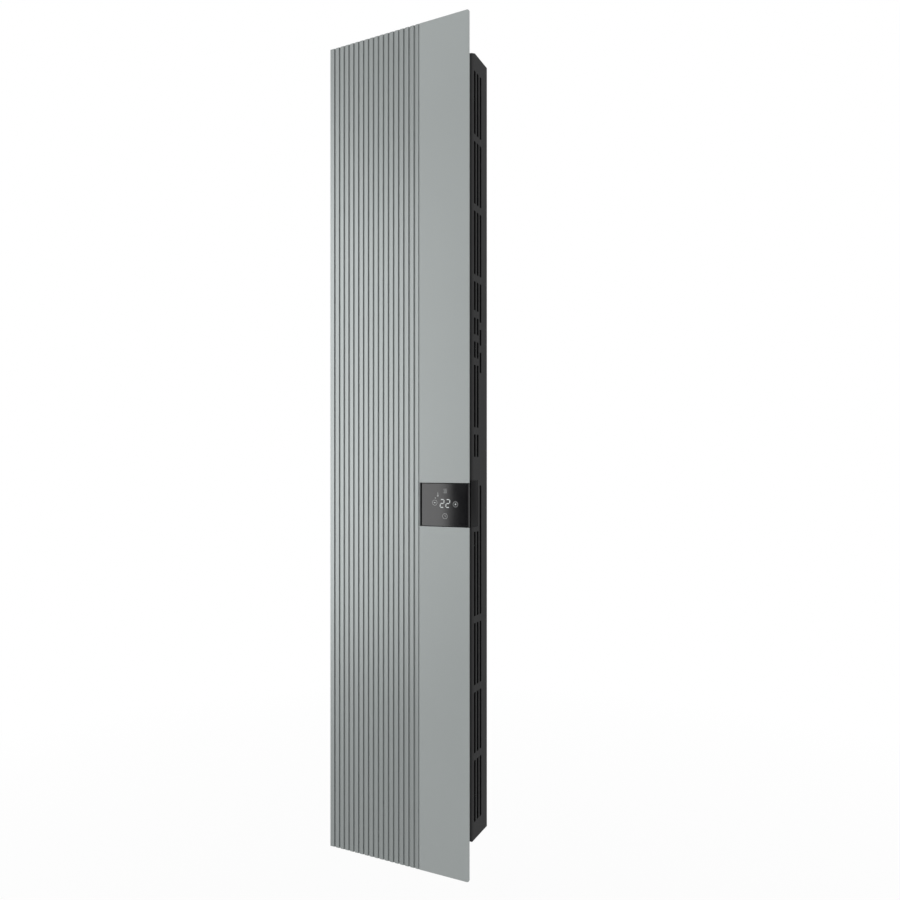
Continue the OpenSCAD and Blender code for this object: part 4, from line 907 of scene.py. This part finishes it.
def joinShapes(shapes, front, back):
    # one list of points and faces from outlines and from pairs of loops
    points, faces, start = [], [], 0
    for shape in shapes:
        solid = band(*shape, front, back) if isinstance(shape, tuple) else prism(shape, front, back)
        points.append(solid[0])
        faces += [[k + start for k in face] for face in solid[1]]
        start += len(solid[0])
    return np.vstack(points), faces


def buildMarks():
    # three pieces: digits with plus and minus, rings of the keys with the clock's hands, small icons
    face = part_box("touch_glass")[0].y
    front, back = face - marks["proud"], face + marks["proud"]
    digits = []
    for x in marks["digitPlaces"]:
        digits += segmentDigit((x, marks["digitZ"]), marks["segments"])
    minus, plus, clock = marks["minusPlace"], marks["plusPlace"], marks["clockPlace"]
    long, thin = marks["signLength"] / 2, marks["signWidth"] / 2
    digits += [barOutline((x - long, z), (x + long, z), marks["signWidth"]) for x, z in (minus, plus)]
    digits += [boxOutline(plus[0] - thin, plus[0] + thin, plus[1] + low, plus[1] + high)
               for low, high in ((thin, long), (-long, -thin))]
    keys = [ring(place, marks["ringRadius"], marks["ringWidth"]) for place in (minus, plus, clock)]
    keys += [barOutline(clock, (clock[0] + a * long, clock[1] + b * long), thin)
             for a, b in marks["handShares"]]

    stem, wave = marks["stemPlace"], marks["wavePlace"]
    low, high = (stem[1] + end for end in marks["stemEnds"])
    plateZ, plateHalf = wave[1] - marks["plateDrop"], marks["plateHalf"]
    steps = marks["steps"]
    icons = [
        circle(marks["dropPlace"], marks["dropRadius"], steps["drop"]),
        circle((stem[0], stem[1] - marks["bulbDrop"]), marks["bulbRadius"], steps["bulb"]),
        barOutline((stem[0], low), (stem[0], high), marks["stemWidth"]),
        barOutline((wave[0] - plateHalf, plateZ), (wave[0] + plateHalf, plateZ), marks["plateWidth"]),
    ]
    stroke = [marks[key] for key in ("waveHeight", "waveSwing", "waveWidth")]
    pitch, waveZ = marks["wavePitch"], wave[1] + marks["waveRise"]
    icons += [waveStroke((wave[0] + k * pitch, waveZ), *stroke) for k in (-1, 0, 1)]
    for name, shapes in (("litDigits", digits), ("litKeys", keys), ("litIcons", icons)):
        showPiece(name, closedMesh(name, *joinShapes(shapes, front, back)), name, "heater")


buildMarks()


rockerPrint = {
    # centre and outward normal of the two halves of the key, in the rest position
    "on": ((0.11593, -0.0498, -0.82904), (-0.018, 0, -1)),
    "off": ((0.10884, -0.0498, -0.83029), (0.358, 0, -0.934)),
    "barLength": 0.0034, "ringRadius": 0.0014, "stroke": 0.0005, "proud": 0.00004,
}


def buildRockerPrint():
    # a bar on one half of the key and a ring on the other: centre + a across + b along y + c outwards
    half, stroke = rockerPrint["barLength"] / 2, rockerPrint["stroke"]
    signs = {"on": [barOutline((0, -half), (0, half), stroke)],
             "off": [ring((0, 0), rockerPrint["ringRadius"], stroke)]}
    points, faces, start = [], [], 0
    for side, shapes in signs.items():
        centre, normal = (np.array(v, float) for v in rockerPrint[side])
        normal /= np.linalg.norm(normal)
        flat, polygons = joinShapes(shapes, -rockerPrint["proud"], rockerPrint["proud"])
        axes = np.array([np.cross((0, 1, 0), normal), -normal, (0, 1, 0)])
        points.append(centre + flat @ axes)
        faces += [[k + start for k in face] for face in polygons]
        start += len(flat)
    mesh = closedMesh("rockerSigns", np.vstack(points), faces)
    showPiece("rockerSigns", mesh, "whitePrint", "switch_rocker")


buildRockerPrint()
print("control unit built")


# studio

studio = {
    "floorZ": -1.45,
    "floorSize": 90.0,
    "floorMottle": (3.0, 2.0, (0.86, 0.9)),     # scale and detail of the clouds, two shades of grey
    "floorGlow": (0.9, 1.0, 0.6, 3.2),   # glow share near the foot, far away, and the radii between them
    # dark card beside the front lamp, for glosses alone: right, left, front, bottom, top
    "card": (0.0, -1.09, -2.7, -1.6, 2.0),
    "cardMottle": (8.0, 3.0, (0.006, 0.01)),
    "worldLight": 0.55,
    "lamps": {
        # name: place, aims at, width, height, radiance
        "frontLeft": ((-1.65, -2.3, 0.32), (-0.02, -0.1, 0.1), 1.35, 2.9, 2.5),
        "rightSide": ((2.5, 0.5, 0.3), (0.17, -0.06, 0.0), 1.0, 2.2, 1.8),
        "above": ((0.2, -0.9, 2.6), (0, -0.1, 0.2), 1.8, 1.2, 1.4),
        "behind": ((-0.8, 2.4, 0.8), (0, 0, 0), 1.6, 1.6, 1.4),
    },
}


def seenDirectly(tree):
    # 1 where the camera, a gloss or a see-through surface looks at it
    path = addNode(tree, "LightPath").outputs
    share = path["Is Camera Ray"]
    for ray in ("Is Glossy Ray", "Is Transmission Ray"):
        share = addNode(tree, "Math", {0: share, 1: path[ray]}, operation="MAXIMUM").outputs[0]
    return share


def flatPlate(name, corners):
    # a rectangle that only the studio shows
    mesh = bpy.data.meshes.new(name)
    mesh.from_pydata(corners, [], [(0, 1, 2, 3)])
    plate = bpy.data.objects.new(name, mesh)
    scene.collection.objects.link(plate)
    return plate


def greyMottle(tree, scale, detail, shades):
    # soft clouds of two greys
    dark, light = (colour((shade,) * 3) for shade in shades)
    return blendColour(tree, noise(tree, scale, detail=detail), dark, light)


def buildWorld():
    # white room: full strength where it is looked at, less as a light
    world = bpy.data.worlds.new("studioWorld")
    scene.world = world
    world.use_nodes = True
    tree = world.node_tree
    background = tree.nodes["Background"]
    strength = spread(tree, seenDirectly(tree), studio["worldLight"], 1.0, 0.0, 1.0)
    setInputs(tree, background, {"Color": (1, 1, 1, 1), "Strength": strength})


def buildFloor():
    # white floor that glows in part for the camera, so it stays pale and still takes the shadow
    half, z = studio["floorSize"] / 2, studio["floorZ"]
    corners = [(-half, -half, z), (half, -half, z), (half, half, z), (-half, half, z)]
    floor = flatPlate("studioFloor", corners)
    material, tree, shader = makeTree("paleFloor")
    setInputs(tree, shader, {"Base Color": greyMottle(tree, *studio["floorMottle"]), "Roughness": 0.8})
    glow = addNode(tree, "Emission", {"Color": (1, 1, 1, 1), "Strength": 1.0})
    flat = {0: objectPoint(tree, (1, 1, 0))}
    reach = addNode(tree, "VectorMath", flat, operation="LENGTH").outputs["Value"]
    factors = {0: seenDirectly(tree), 1: spread(tree, reach, *studio["floorGlow"])}
    share = addNode(tree, "Math", factors, operation="MULTIPLY").outputs[0]
    mix = addNode(tree, "MixShader", {0: share, 1: shader.outputs[0], 2: glow.outputs[0]})
    under = addNode(tree, "NewGeometry").outputs["Backfacing"]      # a look from below passes through
    clear = addNode(tree, "BsdfTransparent")
    whole = addNode(tree, "MixShader", {0: under, 1: mix.outputs[0], 2: clear.outputs[0]})
    tree.links.new(whole.outputs[0], tree.nodes["Material Output"].inputs["Surface"])
    floor.data.materials.append(material)


def buildCard():
    # stands for the dark side of a room, in the gloss of the glass
    right, left, y, bottom, top = studio["card"]
    corners = [(left, y, bottom), (right, y, bottom), (right, y, top), (left, y, top)]
    card = flatPlate("darkCard", corners)
    material, tree, shader = makeTree("darkCloth")
    cloth = greyMottle(tree, *studio["cardMottle"])
    setInputs(tree, shader, {"Base Color": cloth, "Roughness": 0.9, "Specular IOR Level": 0.0})
    card.data.materials.append(material)
    card.visible_camera = card.visible_diffuse = card.visible_shadow = False


def buildLamps():
    # energy = radiance * pi * area; each lamp looks at its aim
    for name, (place, aim, width, height, radiance) in studio["lamps"].items():
        data = bpy.data.lights.new(name, "AREA")
        data.shape = "RECTANGLE"
        data.size, data.size_y = width, height
        data.energy = radiance * math.pi * width * height
        lamp = bpy.data.objects.new(name, data)
        lamp.location = place
        direction = np.array(aim) - np.array(place)
        lamp.rotation_euler = (math.atan2(math.hypot(direction[0], direction[1]), -direction[2]), 0,
                               math.atan2(-direction[0], direction[1]))
        scene.collection.objects.link(lamp)


buildWorld()
buildFloor()
buildCard()
buildLamps()
scene.view_settings.view_transform = "Standard"
print("studio lit")
